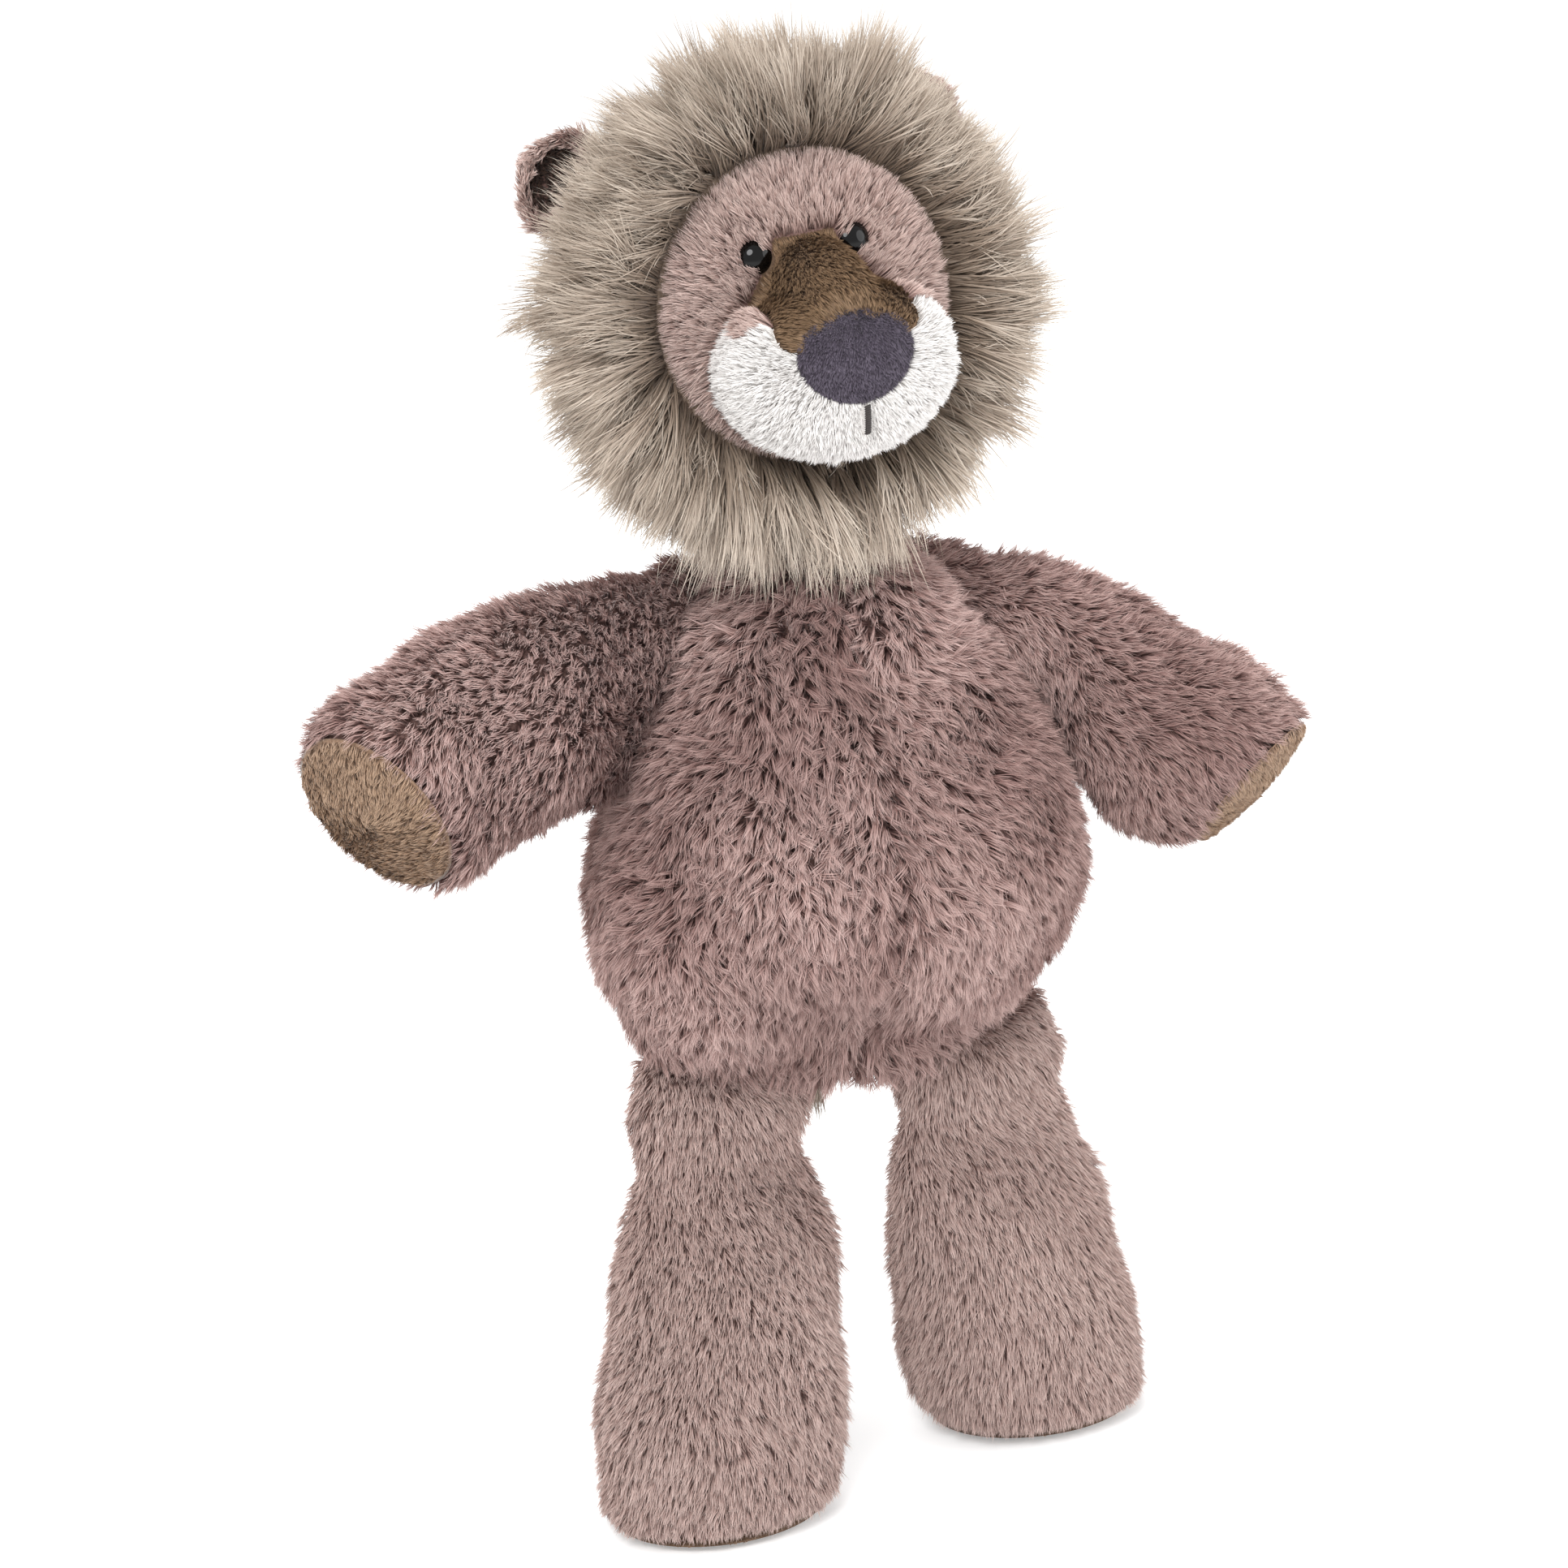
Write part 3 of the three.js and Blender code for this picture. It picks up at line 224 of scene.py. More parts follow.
def lofted(centres, across, through, half_across, half_through, sides=COLUMNS):
    """A closed form over oval rings, each end closed to the middle of its ring."""
    across, through = (np.broadcast_to(way, centres.shape) for way in (across, through))
    angles = np.linspace(0, 2 * math.pi, sides, endpoint=False)
    grid = (
        centres[:, None]
        + across[:, None] * half_across[:, None, None] * np.cos(angles)[None, :, None]
        + through[:, None] * half_through[:, None, None] * np.sin(angles)[None, :, None]
    )
    rows = len(grid)
    flow = np.gradient(grid, axis=0).reshape(-1, 3)
    points = np.vstack([grid.reshape(-1, 3), centres[:1], centres[-1:]])
    flow = np.vstack([flow, centres[1:2] - centres[:1], centres[-1:] - centres[-2:-1]])
    i, j = np.meshgrid(np.arange(rows - 1), np.arange(sides), indexing="ij")
    a = i * sides + j
    b = i * sides + (j + 1) % sides
    quads = np.stack([a, b, b + sides, a + sides], -1).reshape(-1, 4)
    triangles = np.vstack([quads[:, [0, 1, 2]], quads[:, [0, 2, 3]]])
    rim = np.arange(sides)
    beyond = (rim + 1) % sides
    first, last = rows * sides, rows * sides + 1
    top = (rows - 1) * sides
    low_cap = np.stack([np.full(sides, first), beyond, rim], -1)
    high_cap = np.stack([np.full(sides, last), top + rim, top + beyond], -1)
    triangles = np.vstack([triangles, low_cap, high_cap])
    corners = points[triangles]
    volume = np.sum(np.cross(corners[:, 0], corners[:, 1]) * corners[:, 2])
    if volume < 0:
        triangles = triangles[:, ::-1]
    return Surface(points, triangles, flow)


def form_object(surface):
    mesh = bpy.data.meshes.new("form")
    mesh.from_pydata((surface.points * MM).tolist(), [], surface.triangles.tolist())
    made = bpy.data.objects.new("form", mesh)
    bpy.context.scene.collection.objects.link(made)
    return made


def finished(made):
    """The object with its modifiers made final."""
    graph = bpy.context.evaluated_depsgraph_get()
    mesh = bpy.data.meshes.new_from_object(made.evaluated_get(graph))
    made.modifiers.clear()
    made.data = mesh
    return made


def points_of(mesh):
    points = np.empty(len(mesh.vertices) * 3)
    mesh.vertices.foreach_get("co", points)
    return points.reshape(-1, 3) / MM


def surface_of(made, like):
    """The object as a surface that runs the way the nearest part of another one does."""
    mesh = made.data
    mesh.calc_loop_triangles()
    triangles = np.empty(len(mesh.loop_triangles) * 3, np.int32)
    mesh.loop_triangles.foreach_get("vertices", triangles)
    points = points_of(mesh)
    tree = KDTree(len(like.points))
    for k, point in enumerate(like.points):
        tree.insert(point, k)
    tree.balance()
    nearest = np.array([tree.find(point)[1] for point in points])
    bpy.data.objects.remove(made)
    return Surface(points, triangles.reshape(-1, 3), like.flow[nearest])


def remeshed(made, voxel, smoothing):
    remesh = made.modifiers.new("remesh", "REMESH")
    remesh.mode = "VOXEL"
    remesh.voxel_size = voxel * MM
    smooth = made.modifiers.new("smooth", "SMOOTH")
    smooth.iterations = smoothing
    return finished(made)


def together(surfaces):
    """Several skins in one, each still on its own."""
    shifts = np.cumsum([0] + [len(one) for one in surfaces[:-1]])
    points, normals, flow = (
        np.vstack([getattr(one, kind) for one in surfaces]) for kind in ("points", "normals", "flow")
    )
    triangles = np.vstack([one.triangles + shift for one, shift in zip(surfaces, shifts)])
    return Surface(points, triangles, flow, normals)


def melted(surfaces, voxel, smoothing):
    """Several closed forms as one smooth skin."""
    whole = together(surfaces)
    return surface_of(remeshed(form_object(whole), voxel, smoothing), whole)


def eased_inset(distance):
    """The backing's depth under the outline, coming up to it where a limb joins the body."""
    share = np.clip(distance / INSET_OVER, 0, 1)
    return -(SEAM_DEPTH + (BACKING_DEPTH - SEAM_DEPTH) * share * share * (3 - 2 * share))


def stuffed(surface, seams):
    """The skin blown up by its filling while the seams hold. seams tells where the cloth is sewn."""
    made = remeshed(form_object(surface), CLOTH_CELL, 1)
    rest = points_of(made.data)
    group = made.vertex_groups.new(name="sewn")
    group.add(np.flatnonzero(seams(rest)).tolist(), 1.0, "REPLACE")
    cloth = made.modifiers.new("cloth", "CLOTH")
    settings = cloth.settings
    settings.quality = CLOTH_QUALITY
    settings.use_pressure = True
    settings.uniform_pressure_force = FILLING_PRESSURE
    settings.vertex_group_mass = "sewn"
    settings.effector_weights.gravity = 0.0
    settings.tension_stiffness = CLOTH_STIFFNESS
    settings.compression_stiffness = CLOTH_STIFFNESS
    settings.bending_stiffness = CLOTH_BENDING
    cloth.point_cache.frame_start = 1
    cloth.point_cache.frame_end = CLOTH_FRAMES
    for moment in range(1, CLOTH_FRAMES + 1):
        bpy.context.scene.frame_set(moment)
    finished(made)
    bpy.context.scene.frame_set(1)
    moved = points_of(made.data) - rest
    far = np.linalg.norm(moved, axis=1, keepdims=True)
    points = rest + moved * np.minimum(1, SKIN_GIVE / np.maximum(far, 1e-6))
    made.data.vertices.foreach_set("co", (points * MM).ravel())
    made.modifiers.new("rounding", "SUBSURF").levels = 1
    return surface_of(finished(made), surface)


def rumpled(surface, name, depth, size):
    """The skin with soft folds and hollows where its filling sits unevenly."""
    random = np.random.default_rng([SEED, FOLD_DRAWS, *name.encode()])
    fold = sum(swirl(surface.points, size * share, random) * share for share in FOLD_SIZES)
    return Surface(surface.points + surface.normals * np.clip(depth * fold, -depth, depth)[:, None],
                   surface.triangles, surface.flow)


def steady(vector, count):
    return np.repeat(np.array(vector, float)[None], count, 0)


def matrix_of(translate=(0, 0, 0), turn=None):
    matrix = np.eye(4)
    matrix[:3, 3] = translate
    if turn is not None:
        matrix[:3, :3] = turn
    return matrix


def turn_about(axis, degrees):
    return np.array(Matrix.Rotation(math.radians(degrees), 3, axis))


def torso_surface():
    x, wide, deep = smooth_table(TORSO_SHARES, ROWS).T
    centres = np.column_stack([0 * x, -BELLY_FORWARD * deep, TORSO_BOTTOM + TORSO_HEIGHT * x])
    form = lofted(centres, X, Y, BELLY_HALF_WIDTH * wide, BELLY_HALF_DEPTH * deep)
    return form.flowing_back().moved(matrix_of(ORIGIN))


def torso_side_at(height):
    x, wide, _ = smooth_table(TORSO_SHARES, ROWS).T
    heights = TORSO_BOTTOM + TORSO_HEIGHT * x
    half = BELLY_HALF_WIDTH * wide
    slope = np.interp(height, heights, np.gradient(half, heights))
    return np.interp(height, heights, half), math.degrees(math.atan(-slope))


def root_rings(seam_half, root_radius, outward, seam_axis, through_axis):
    """The rounded end of a limb inside its seat."""
    angle = np.radians(np.linspace(ROOT_TIP_DEG, 0, ROOT_ROWS, endpoint=False))
    centres = -root_radius * np.sin(angle)[:, None] * outward
    return (
        centres,
        steady(seam_axis, ROOT_ROWS),
        steady(through_axis, ROOT_ROWS),
        seam_half * np.cos(angle),
        root_radius * np.cos(angle),
    )


def joined(*parts):
    return [np.concatenate(group) for group in zip(*parts)]


def limb_body(shares, steps, seam_wide, seam_deep, full_wide, full_deep):
    """The shares of a limb from its seam on, with the stretch before the first share filled in."""
    first = [(0, seam_wide / full_wide, seam_deep / full_deep)]
    return smooth_table(first + list(shares), steps)


def arm_surface(name):
    arm = ARMS[name]
    x, wide, deep = limb_body(
        ARM_SHARES, ROWS, ARM_SEAM_HALF, ARM_ROOT_RADIUS, ARM_HALF_WIDTH, ARM_HALF_DEPTH
    ).T
    droop = np.radians(arm["start_droop"] + (arm["end_droop"] - arm["start_droop"]) * x)
    steps = ARM_LENGTH * np.gradient(x)
    path = np.cumsum(np.column_stack([np.cos(droop), 0 * x, -np.sin(droop)]) * steps[:, None], 0)
    path -= path[0]
    turn = np.radians(arm["end_droop"]) * x
    across = np.column_stack([np.sin(turn), 0 * x, np.cos(turn)])
    ahead = np.column_stack([np.cos(turn), 0 * x, -np.sin(turn)])
    paw_turn = np.radians(arm["paw_turn"]) * x * x
    through = Y * np.cos(paw_turn)[:, None] + ahead * np.sin(paw_turn)[:, None]
    half = ARM_HALF_WIDTH * wide * (1 + (arm["paw_share"] - 1) * x)
    body = (path, across, through, half, ARM_HALF_DEPTH * deep)
    form = lofted(*joined(root_rings(ARM_SEAM_HALF, ARM_ROOT_RADIUS, X, Z, Y), body))
    return form, path[-1], across[-1], through[-1], half[-1], ARM_HALF_DEPTH * deep[-1]


def shoulder_matrix(name):
    arm = ARMS[name]
    half, lean = torso_side_at(SHOULDER_HEIGHT)
    place = matrix_of(ORIGIN + [arm["side"] * (half + SHOULDER_STANDOFF), 0, SHOULDER_HEIGHT])
    mirror = matrix_of(turn=np.diag([arm["side"], 1.0, 1.0]))
    tilt = matrix_of(turn=turn_about("Y", -lean))
    swing = matrix_of(turn=turn_about("Z", -arm["forward"]))
    return place @ mirror @ tilt @ swing


def leg_surface(name):
    side = 1 if name == "left" else -1
    x, wide, deep = limb_body(
        LEG_SHARES, ROWS, HIP_SEAM_HALF, HIP_ROOT_RADIUS, FOOT_HALF_WIDTH, FOOT_HALF_DEPTH
    ).T
    path = np.outer(x, [side * (FOOT_SPREAD[name] - HIP_SPREAD), side * STRIDE, -HIP_HEIGHT])
    body = (path, steady(-X, ROWS), steady(Y, ROWS), FOOT_HALF_WIDTH * wide, FOOT_HALF_DEPTH * deep)
    form = lofted(*joined(root_rings(HIP_SEAM_HALF, HIP_ROOT_RADIUS, -Z, -X, Y), body))
    from_crotch = side * form.points[:, 0] + HIP_RISE_FROM
    outward = np.clip(from_crotch / (HIP_SEAM_HALF + HIP_RISE_FROM), 0, 1)
    upward = np.clip(1 + form.points[:, 2] / HIP_RISE_OVER, 0, 1)
    form.points[:, 2] += HIP_RISE * outward**HIP_RISE_POWER * upward * upward * (3 - 2 * upward)
    form = Surface(form.points, form.triangles, form.flow)
    place = matrix_of(ORIGIN + [side * HIP_SPREAD, 0, HIP_HEIGHT])
    return form.moved(place), ORIGIN + [side * FOOT_SPREAD[name], side * STRIDE, 0]


def head_matrix():
    neck = matrix_of(ORIGIN + NECK_HEIGHT * Z)
    return neck @ matrix_of(turn=turn_about("Y", -HEAD_TILT_DEG)) @ matrix_of(HEAD_LIFT * Z)


def head_surface():
    x, wide, _ = smooth_table(HEAD_SHARES, ROWS).T
    back = HEAD_FORWARD + HEAD_BACK_DEPTH
    centres = np.column_stack([0 * x, back + (FACE_FRONT - back) * x, 0 * x])
    return lofted(centres, X, Z, HEAD_HALF_WIDTH * wide, HEAD_HALF_HEIGHT * wide)


FACE_BALL = (FACE_RADIUS**2 + FACE_BULGE**2) / (2 * FACE_BULGE)
FACE_BALL_Y = FACE_FRONT - FACE_BULGE + FACE_BALL


def face_surface():
    """The bulging face, as rings from its rim to its middle."""
    rim = math.asin(FACE_RADIUS / FACE_BALL)
    angle = np.linspace(rim, FACE_MIDDLE, ROWS // 2)
    ahead = np.append(FACE_FRONT + FACE_BULGE, FACE_BALL_Y - FACE_BALL * np.cos(angle))
    centres = ahead[:, None] * Y
    radius = np.append(FACE_RADIUS, FACE_BALL * np.sin(angle))
    return lofted(centres, X, Z, radius, radius).flowing_back()


def muzzle_surface():
    """The muzzle, its blunt tip rounded off."""
    x, wide, deep = smooth_table(MUZZLE_SHARES, ROWS).T
    tip_share = np.linspace(1, MUZZLE_TIP_END, ROWS // 6)[1:]
    x = np.concatenate([x, 1 + MUZZLE_TIP_ROUNDING * (1 - tip_share**2)])
    wide = np.concatenate([wide, wide[-1] * tip_share])
    deep = np.concatenate([deep, deep[-1] * tip_share])
    centres = np.column_stack([0 * x, MUZZLE_ROOT + (MUZZLE_TIP - MUZZLE_ROOT) * x, 0 * x - MUZZLE_DROP])
    return lofted(centres, X, Z, MUZZLE_HALF_WIDTH * wide, MUZZLE_HALF_HEIGHT * deep).flowing_back()


def ridge_surface(inset):
    """The upper half of the ridge that runs from the nose to between the eyes."""
    x, wide, high = smooth_table(RIDGE_SHARES, RIDGE_ROWS).T
    centres = np.column_stack([0 * x, MUZZLE_ROOT + (RIDGE_TIP - MUZZLE_ROOT) * x, 0 * x - MUZZLE_DROP])
    half, tall = RIDGE_HALF_WIDTH * wide - inset, RIDGE_HEIGHT * high - inset
    form = lofted(centres, X, Z, half, tall, RIDGE_SIDES)
    across = form.points[:, 0] / RIDGE_HALF_WIDTH
    form.points[:, 0] = RIDGE_HALF_WIDTH * np.sign(across) * np.abs(across) ** RIDGE_SQUARENESS
    form.points[:, 2] = np.maximum(form.points[:, 2], -MUZZLE_DROP)
    return form.flowing_back()


def face_form():
    """Face, muzzle and ridge as one skin, its pile combed away from the nose."""
    face, muzzle = face_surface().offset(-FACE_INSET), muzzle_surface().offset(-MUZZLE_INSET)
    form = melted([face, muzzle, ridge_surface(FACE_INSET)], FACE_CELL, FACE_SMOOTHING)
    parting = [0, MUZZLE_TIP, PARTING_RISE - MUZZLE_DROP]
    return Surface(form.points, form.triangles, form.points - parting)


class Front:
    """Where a surface lies when it is looked at from the front."""

    far_ahead = -200.0

    def __init__(self, surface):
        self.tree = BVHTree.FromPolygons(surface.points.tolist(), surface.triangles.tolist())

    def __call__(self, x, z):
        found = []
        for one in np.column_stack(np.broadcast_arrays(x, self.far_ahead, z)):
            hit = self.tree.ray_cast(one, Y)[0]
            found.append(0.0 if hit is None else hit[1])
        return np.array(found)


def bezier(points, steps):
    t = np.linspace(0, 1, steps, endpoint=False)[:, None]
    points = [np.array(p, float) for p in points]
    while len(points) > 1:
        points = [a * (1 - t) + b * t for a, b in zip(points, points[1:])]
    return points[0]


def nose_outline(grow=0.0, steps=OUTLINE_STEPS):
    half, top, low = NOSE_HALF_WIDTH + grow, NOSE_TOP - NOSE_ARCH / 2 + grow, NOSE_LOW - grow
    corner = NOSE_CORNER_REACH * NOSE_CORNER + grow
    turn = low + (top - low) * NOSE_SIDE_SHARE
    chin = half * NOSE_CHIN_SHARE
    return np.vstack([
        bezier([(-half + corner, top), (0, top + 2 * NOSE_ARCH), (half - corner, top)], steps),
        bezier([(half - corner, top), (half, top), (half, top - corner)], steps // 2),
        bezier([(half, top - corner), (half, turn), (chin, low), (0, low)], steps),
        bezier([(0, low), (-chin, low), (-half, turn), (-half, top - corner)], steps),
        bezier([(-half, top - corner), (-half, top), (-half + corner, top)], steps // 2),
    ])


def bridge_outline():
    half_low, above = BRIDGE_HALF_LOW, BRIDGE_LOW + BRIDGE_CORNER
    turn = [(half_low - BRIDGE_CORNER, BRIDGE_LOW), (half_low, BRIDGE_LOW), (half_low, above)]
    half = np.vstack([bezier(turn, OUTLINE_STEPS // 2), turn[-1:], BRIDGE_SIDE])
    return np.vstack([half, half[::-1] * [-1, 1]])


def cheek_outline():
    top, side = RIDGE_HEIGHT + CHEEK_BEYOND, MUZZLE_HALF_WIDTH + CHEEK_BEYOND
    low_line = [(-BRIDGE_HALF_LOW, CHEEK_LOW), (BRIDGE_HALF_LOW, CHEEK_LOW)]
    return np.array([(-side, top), (-side, CHEEK_SIDE_LOW), *low_line, (side, CHEEK_SIDE_LOW), (side, top)])


def inside(places, outline):
    """Whether each place lies inside a closed outline."""
    found = np.zeros(len(places), bool)
    x, y = places.T
    for (ax, ay), (bx, by) in zip(outline, np.roll(outline, -1, 0)):
        crosses = (ay > y) != (by > y)
        with np.errstate(divide="ignore", invalid="ignore"):
            reach = (bx - ax) * (y - ay) / (by - ay) + ax
        found ^= crosses & (x < reach)
    return found


# Materials
SHEEN_ROUGHNESS = 0.4
CLOTH_LOOK = dict(roughness=0.95, Sheen_Weight=0.3)
CLOTH_GRAIN = dict(Scale=1400.0, Detail=3.0)
CLOTH_BUMP = dict(Strength=0.35, Distance=0.0004)
THREAD_LOOK = dict(roughness=0.6, Sheen_Weight=0.2)
THREAD_PLY = dict(Scale=900.0, Distortion=1.5)
PLASTIC_FLOW = dict(Scale=260.0)


def with_inputs(node, **values):
    """The node with its inputs set. An input's name has _ for each space in it."""
    for name, value in values.items():
        node.inputs[name.replace("_", " ")].default_value = value
    return node


def material(name, roughness, **looks):
    made = bpy.data.materials.new(name)
    made.use_nodes = True
    shader = made.node_tree.nodes["Principled BSDF"]
    with_inputs(shader, Roughness=roughness, Sheen_Roughness=SHEEN_ROUGHNESS, **looks)
    return made, made.node_tree, shader


def pattern(tree, kind, **values):
    """A texture laid through the object."""
    made = with_inputs(tree.nodes.new("ShaderNodeTex" + kind), **values)
    where = tree.nodes.new("ShaderNodeTexCoord")
    tree.links.new(where.outputs["Object"], made.inputs["Vector"])
    return made.outputs["Fac"]


def linear(colour):
    """An sRGB colour out of 255 as the linear one a shader takes."""
    share = np.array(colour, float) / 255
    return (*np.where(share <= 0.04045, share / 12.92, ((share + 0.055) / 1.055) ** 2.4), 1.0)


def ramp(tree, factor, stops):
    node = tree.nodes.new("ShaderNodeValToRGB")
    elements = node.color_ramp.elements
    while len(elements) < len(stops):
        elements.new(0.5)
    for element, (place, colour) in zip(elements, stops):
        element.position = place
        element.color = linear(colour)
    tree.links.new(factor, node.inputs["Fac"])
    return node.outputs["Color"]


def strand_material(name, dark, light, roughness=0.8, sheen=0.15):
    """Painted shade at the roots, paler tips. The map holds each strand's tone across and its length up."""
    made, tree, shader = material(name, roughness, Sheen_Weight=sheen)
    places = tree.nodes.new("ShaderNodeUVMap")
    places.uv_map = "OFBake"
    parts = tree.nodes.new("ShaderNodeSeparateXYZ")
    tree.links.new(places.outputs["UV"], parts.inputs[0])
    low = ramp(tree, parts.outputs["Y"], dark)
    high = ramp(tree, parts.outputs["Y"], light)
    mix = tree.nodes.new("ShaderNodeMix")
    mix.data_type = "RGBA"
    tree.links.new(parts.outputs["X"], mix.inputs["Factor"])
    tree.links.new(low, mix.inputs["A"])
    tree.links.new(high, mix.inputs["B"])
    tree.links.new(mix.outputs["Result"], shader.inputs["Base Color"])
    return made


def cloth_material(name, dark, light):
    """Knitted backing or short cloth: fine grain in colour and height."""
    made, tree, shader = material(name, **CLOTH_LOOK)
    grain = pattern(tree, "Noise", **CLOTH_GRAIN)
    tree.links.new(ramp(tree, grain, [(0.3, dark), (0.7, light)]), shader.inputs["Base Color"])
    height = with_inputs(tree.nodes.new("ShaderNodeBump"), **CLOTH_BUMP)
    tree.links.new(grain, height.inputs["Height"])
    tree.links.new(height.outputs["Normal"], shader.inputs["Normal"])
    return made


# Each ramp runs from the root at 0 to the tip at 1; the darker root colours are painted shade among the
# strands.
BODY_PILE = strand_material(
    "body_pile",
    [(0.0, (70, 42, 39)), (0.45, (127, 94, 89)), (1.0, (184, 152, 145))],
    [(0.0, (94, 62, 58)), (0.45, (162, 129, 122)), (1.0, (228, 201, 195))],
)
# The body's plush painted lighter for the legs, where it shades itself less; its paler roots carry less
# painted shade.
LEG_PILE_PAINTED_LIGHTER = strand_material(
    "leg_pile_painted_lighter",
    [(0.0, (108, 79, 73)), (0.45, (154, 125, 118)), (1.0, (192, 166, 158))],
    [(0.0, (131, 102, 95)), (0.45, (182, 156, 148)), (1.0, (230, 210, 203))],
)
FACE_PILE = strand_material(
    "face_pile",
    [(0.0, (122, 92, 86)), (0.5, (163, 134, 126)), (1.0, (200, 173, 165))],
    [(0.0, (147, 118, 111)), (0.5, (194, 168, 159)), (1.0, (235, 216, 208))],
)
MANE_PILE = strand_material(
    "mane_pile",
    [(0.0, (72, 56, 44)), (0.4, (120, 102, 87)), (1.0, (162, 144, 128))],
    [(0.0, (118, 101, 85)), (0.4, (172, 154, 137)), (1.0, (232, 221, 207))],
    roughness=0.6,
)
WHITE_PILE = strand_material(
    "white_pile",
    [(0.0, (216, 212, 208)), (1.0, (238, 235, 233))],
    [(0.0, (230, 226, 223)), (1.0, (246, 245, 244))],
)
BRIDGE_PILE = strand_material(
    "bridge_pile",
    [(0.0, (92, 69, 50)), (1.0, (126, 99, 73))],
    [(0.0, (104, 80, 59)), (1.0, (172, 142, 110))],
    roughness=0.6,
    sheen=0.04,
)
PAD_PILE = strand_material(
    "pad_pile",
    [(0.0, (112, 86, 68)), (1.0, (160, 130, 106))],
    [(0.0, (140, 112, 90)), (1.0, (206, 176, 148))],
    roughness=0.55,
    sheen=0.3,
)
NOSE_PILE = strand_material(
    "nose_pile",
    [(0.0, (54, 47, 58)), (1.0, (84, 76, 90))],
    [(0.0, (72, 64, 77)), (1.0, (112, 102, 118))],
    roughness=0.7,
)
EAR_PILE = strand_material(
    "ear_lining_pile",
    [(0.0, (44, 30, 24)), (1.0, (66, 47, 38))],
    [(0.0, (56, 40, 32)), (1.0, (92, 69, 57))],
)
BODY_CLOTH = cloth_material("body_backing", (96, 70, 64), (126, 98, 91))
MANE_CLOTH = cloth_material("mane_backing", (90, 75, 63), (124, 107, 93))
WHITE_CLOTH = cloth_material("white_backing", (214, 209, 205), (234, 230, 227))
BRIDGE_CLOTH = cloth_material("bridge_backing", (74, 56, 42), (104, 82, 63))
PAD_CLOTH = cloth_material("pad_backing", (112, 87, 69), (146, 118, 96))
NOSE_CLOTH = cloth_material("nose_backing", (58, 51, 62), (78, 70, 83))


def thread_material():
    made, tree, shader = material("thread", **THREAD_LOOK)
    colour = ramp(tree, pattern(tree, "Wave", **THREAD_PLY), [(0.2, (24, 19, 18)), (0.8, (52, 43, 41))])
    tree.links.new(colour, shader.inputs["Base Color"])
    return made


def plastic_material(name, colour, worn, roughness, gloss):
    """Moulded plastic with faint flow marks."""
    made, tree, shader = material(name, roughness, Specular_IOR_Level=gloss)
    marks = ramp(tree, pattern(tree, "Noise", **PLASTIC_FLOW), [(0.4, colour), (0.8, worn)])
    tree.links.new(marks, shader.inputs["Base Color"])
    return made


THREAD = thread_material()
BLACK_PLASTIC = plastic_material("black_plastic", (5, 4, 4), (8, 7, 7), 0.04, 0.25)
WASHER_PLASTIC = plastic_material("washer_plastic", (212, 212, 208), (224, 224, 221), 0.5, 0.5)


# Meshes
def mesh_object(name, points, triangles, finish, strand_map=None):
    """A mesh from arrays in millimetres. The map, if there is one, is given per corner."""
    mesh = bpy.data.meshes.new(name)
    mesh.vertices.add(len(points))
    mesh.vertices.foreach_set("co", (np.asarray(points) * MM).astype(np.float32).ravel())
    mesh.loops.add(triangles.size)
    mesh.loops.foreach_set("vertex_index", triangles.astype(np.int32).ravel())
    mesh.polygons.add(len(triangles))
    mesh.polygons.foreach_set("loop_start", np.arange(0, triangles.size, 3, dtype=np.int32))
    mesh.polygons.foreach_set("use_smooth", np.ones(len(triangles), bool))
    if strand_map is not None:
        layer = mesh.uv_layers.new(name="OFBake", do_init=False)
        layer.uv.foreach_set("vector", strand_map.astype(np.float32).ravel())
    mesh.update(calc_edges=True)
    mesh.materials.append(finish)
    made = bpy.data.objects.new(name, mesh)
    bpy.context.scene.collection.objects.link(made)
    return made


def placed_piece(name, points, triangles, finish, body, nodes=(), strand_map=None):
    made = mesh_object(name, points, triangles, finish, strand_map)
    if nodes:
        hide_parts(*nodes)
    if body is not None:
        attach(made, body)
    return made


def skin_piece(name, surface, finish, body, nodes=()):
    made = placed_piece(name, surface.points, surface.triangles, finish, body, nodes)
    return made


def scatter(surface, per_mm2, random):
    """Random places, evenly thick over the surface's area."""
    corners = surface.points[surface.triangles]
    sides = corners[:, 1:] - corners[:, :1]
    areas = np.linalg.norm(np.cross(sides[:, 0], sides[:, 1]), axis=1) / 2
    count = int(areas.sum() * per_mm2 * DENSITY_SHARE)
    chosen = surface.triangles[random.choice(len(areas), count, p=areas / areas.sum())]
    a, b = random.random((2, count, 1))
    over = a + b > 1
    a, b = np.where(over, 1 - a, a), np.where(over, 1 - b, b)
    shares = (1 - a - b, a, b)
    mixed = [
        sum(share * values[chosen[:, k]] for k, share in enumerate(shares))
        for values in (surface.points, surface.normals, surface.flow)
    ]
    return Spots(mixed[0], unit(mixed[1]), unit(mixed[2]))


def swirl(points, size, random):
    """A smooth random number, mostly between -1 and 1, that changes over about this size."""
    waves = random.normal(size=(SWIRL_WAVES, 3)) / size
    phases = random.uniform(0, 2 * math.pi, SWIRL_WAVES)
    return SWIRL_GAIN * np.sin(2 * points @ waves.T + phases).mean(1)


def clump_of(points, per_clump, random):
    """The index of the nearest lock's own strand, for each strand."""
    count = max(len(points) // per_clump, 1)
    leaders = random.choice(len(points), count, replace=False)
    tree = KDTree(count)
    for leader in leaders:
        tree.insert(points[leader], int(leader))
    tree.balance()
    return np.array([tree.find(point)[1] for point in points])


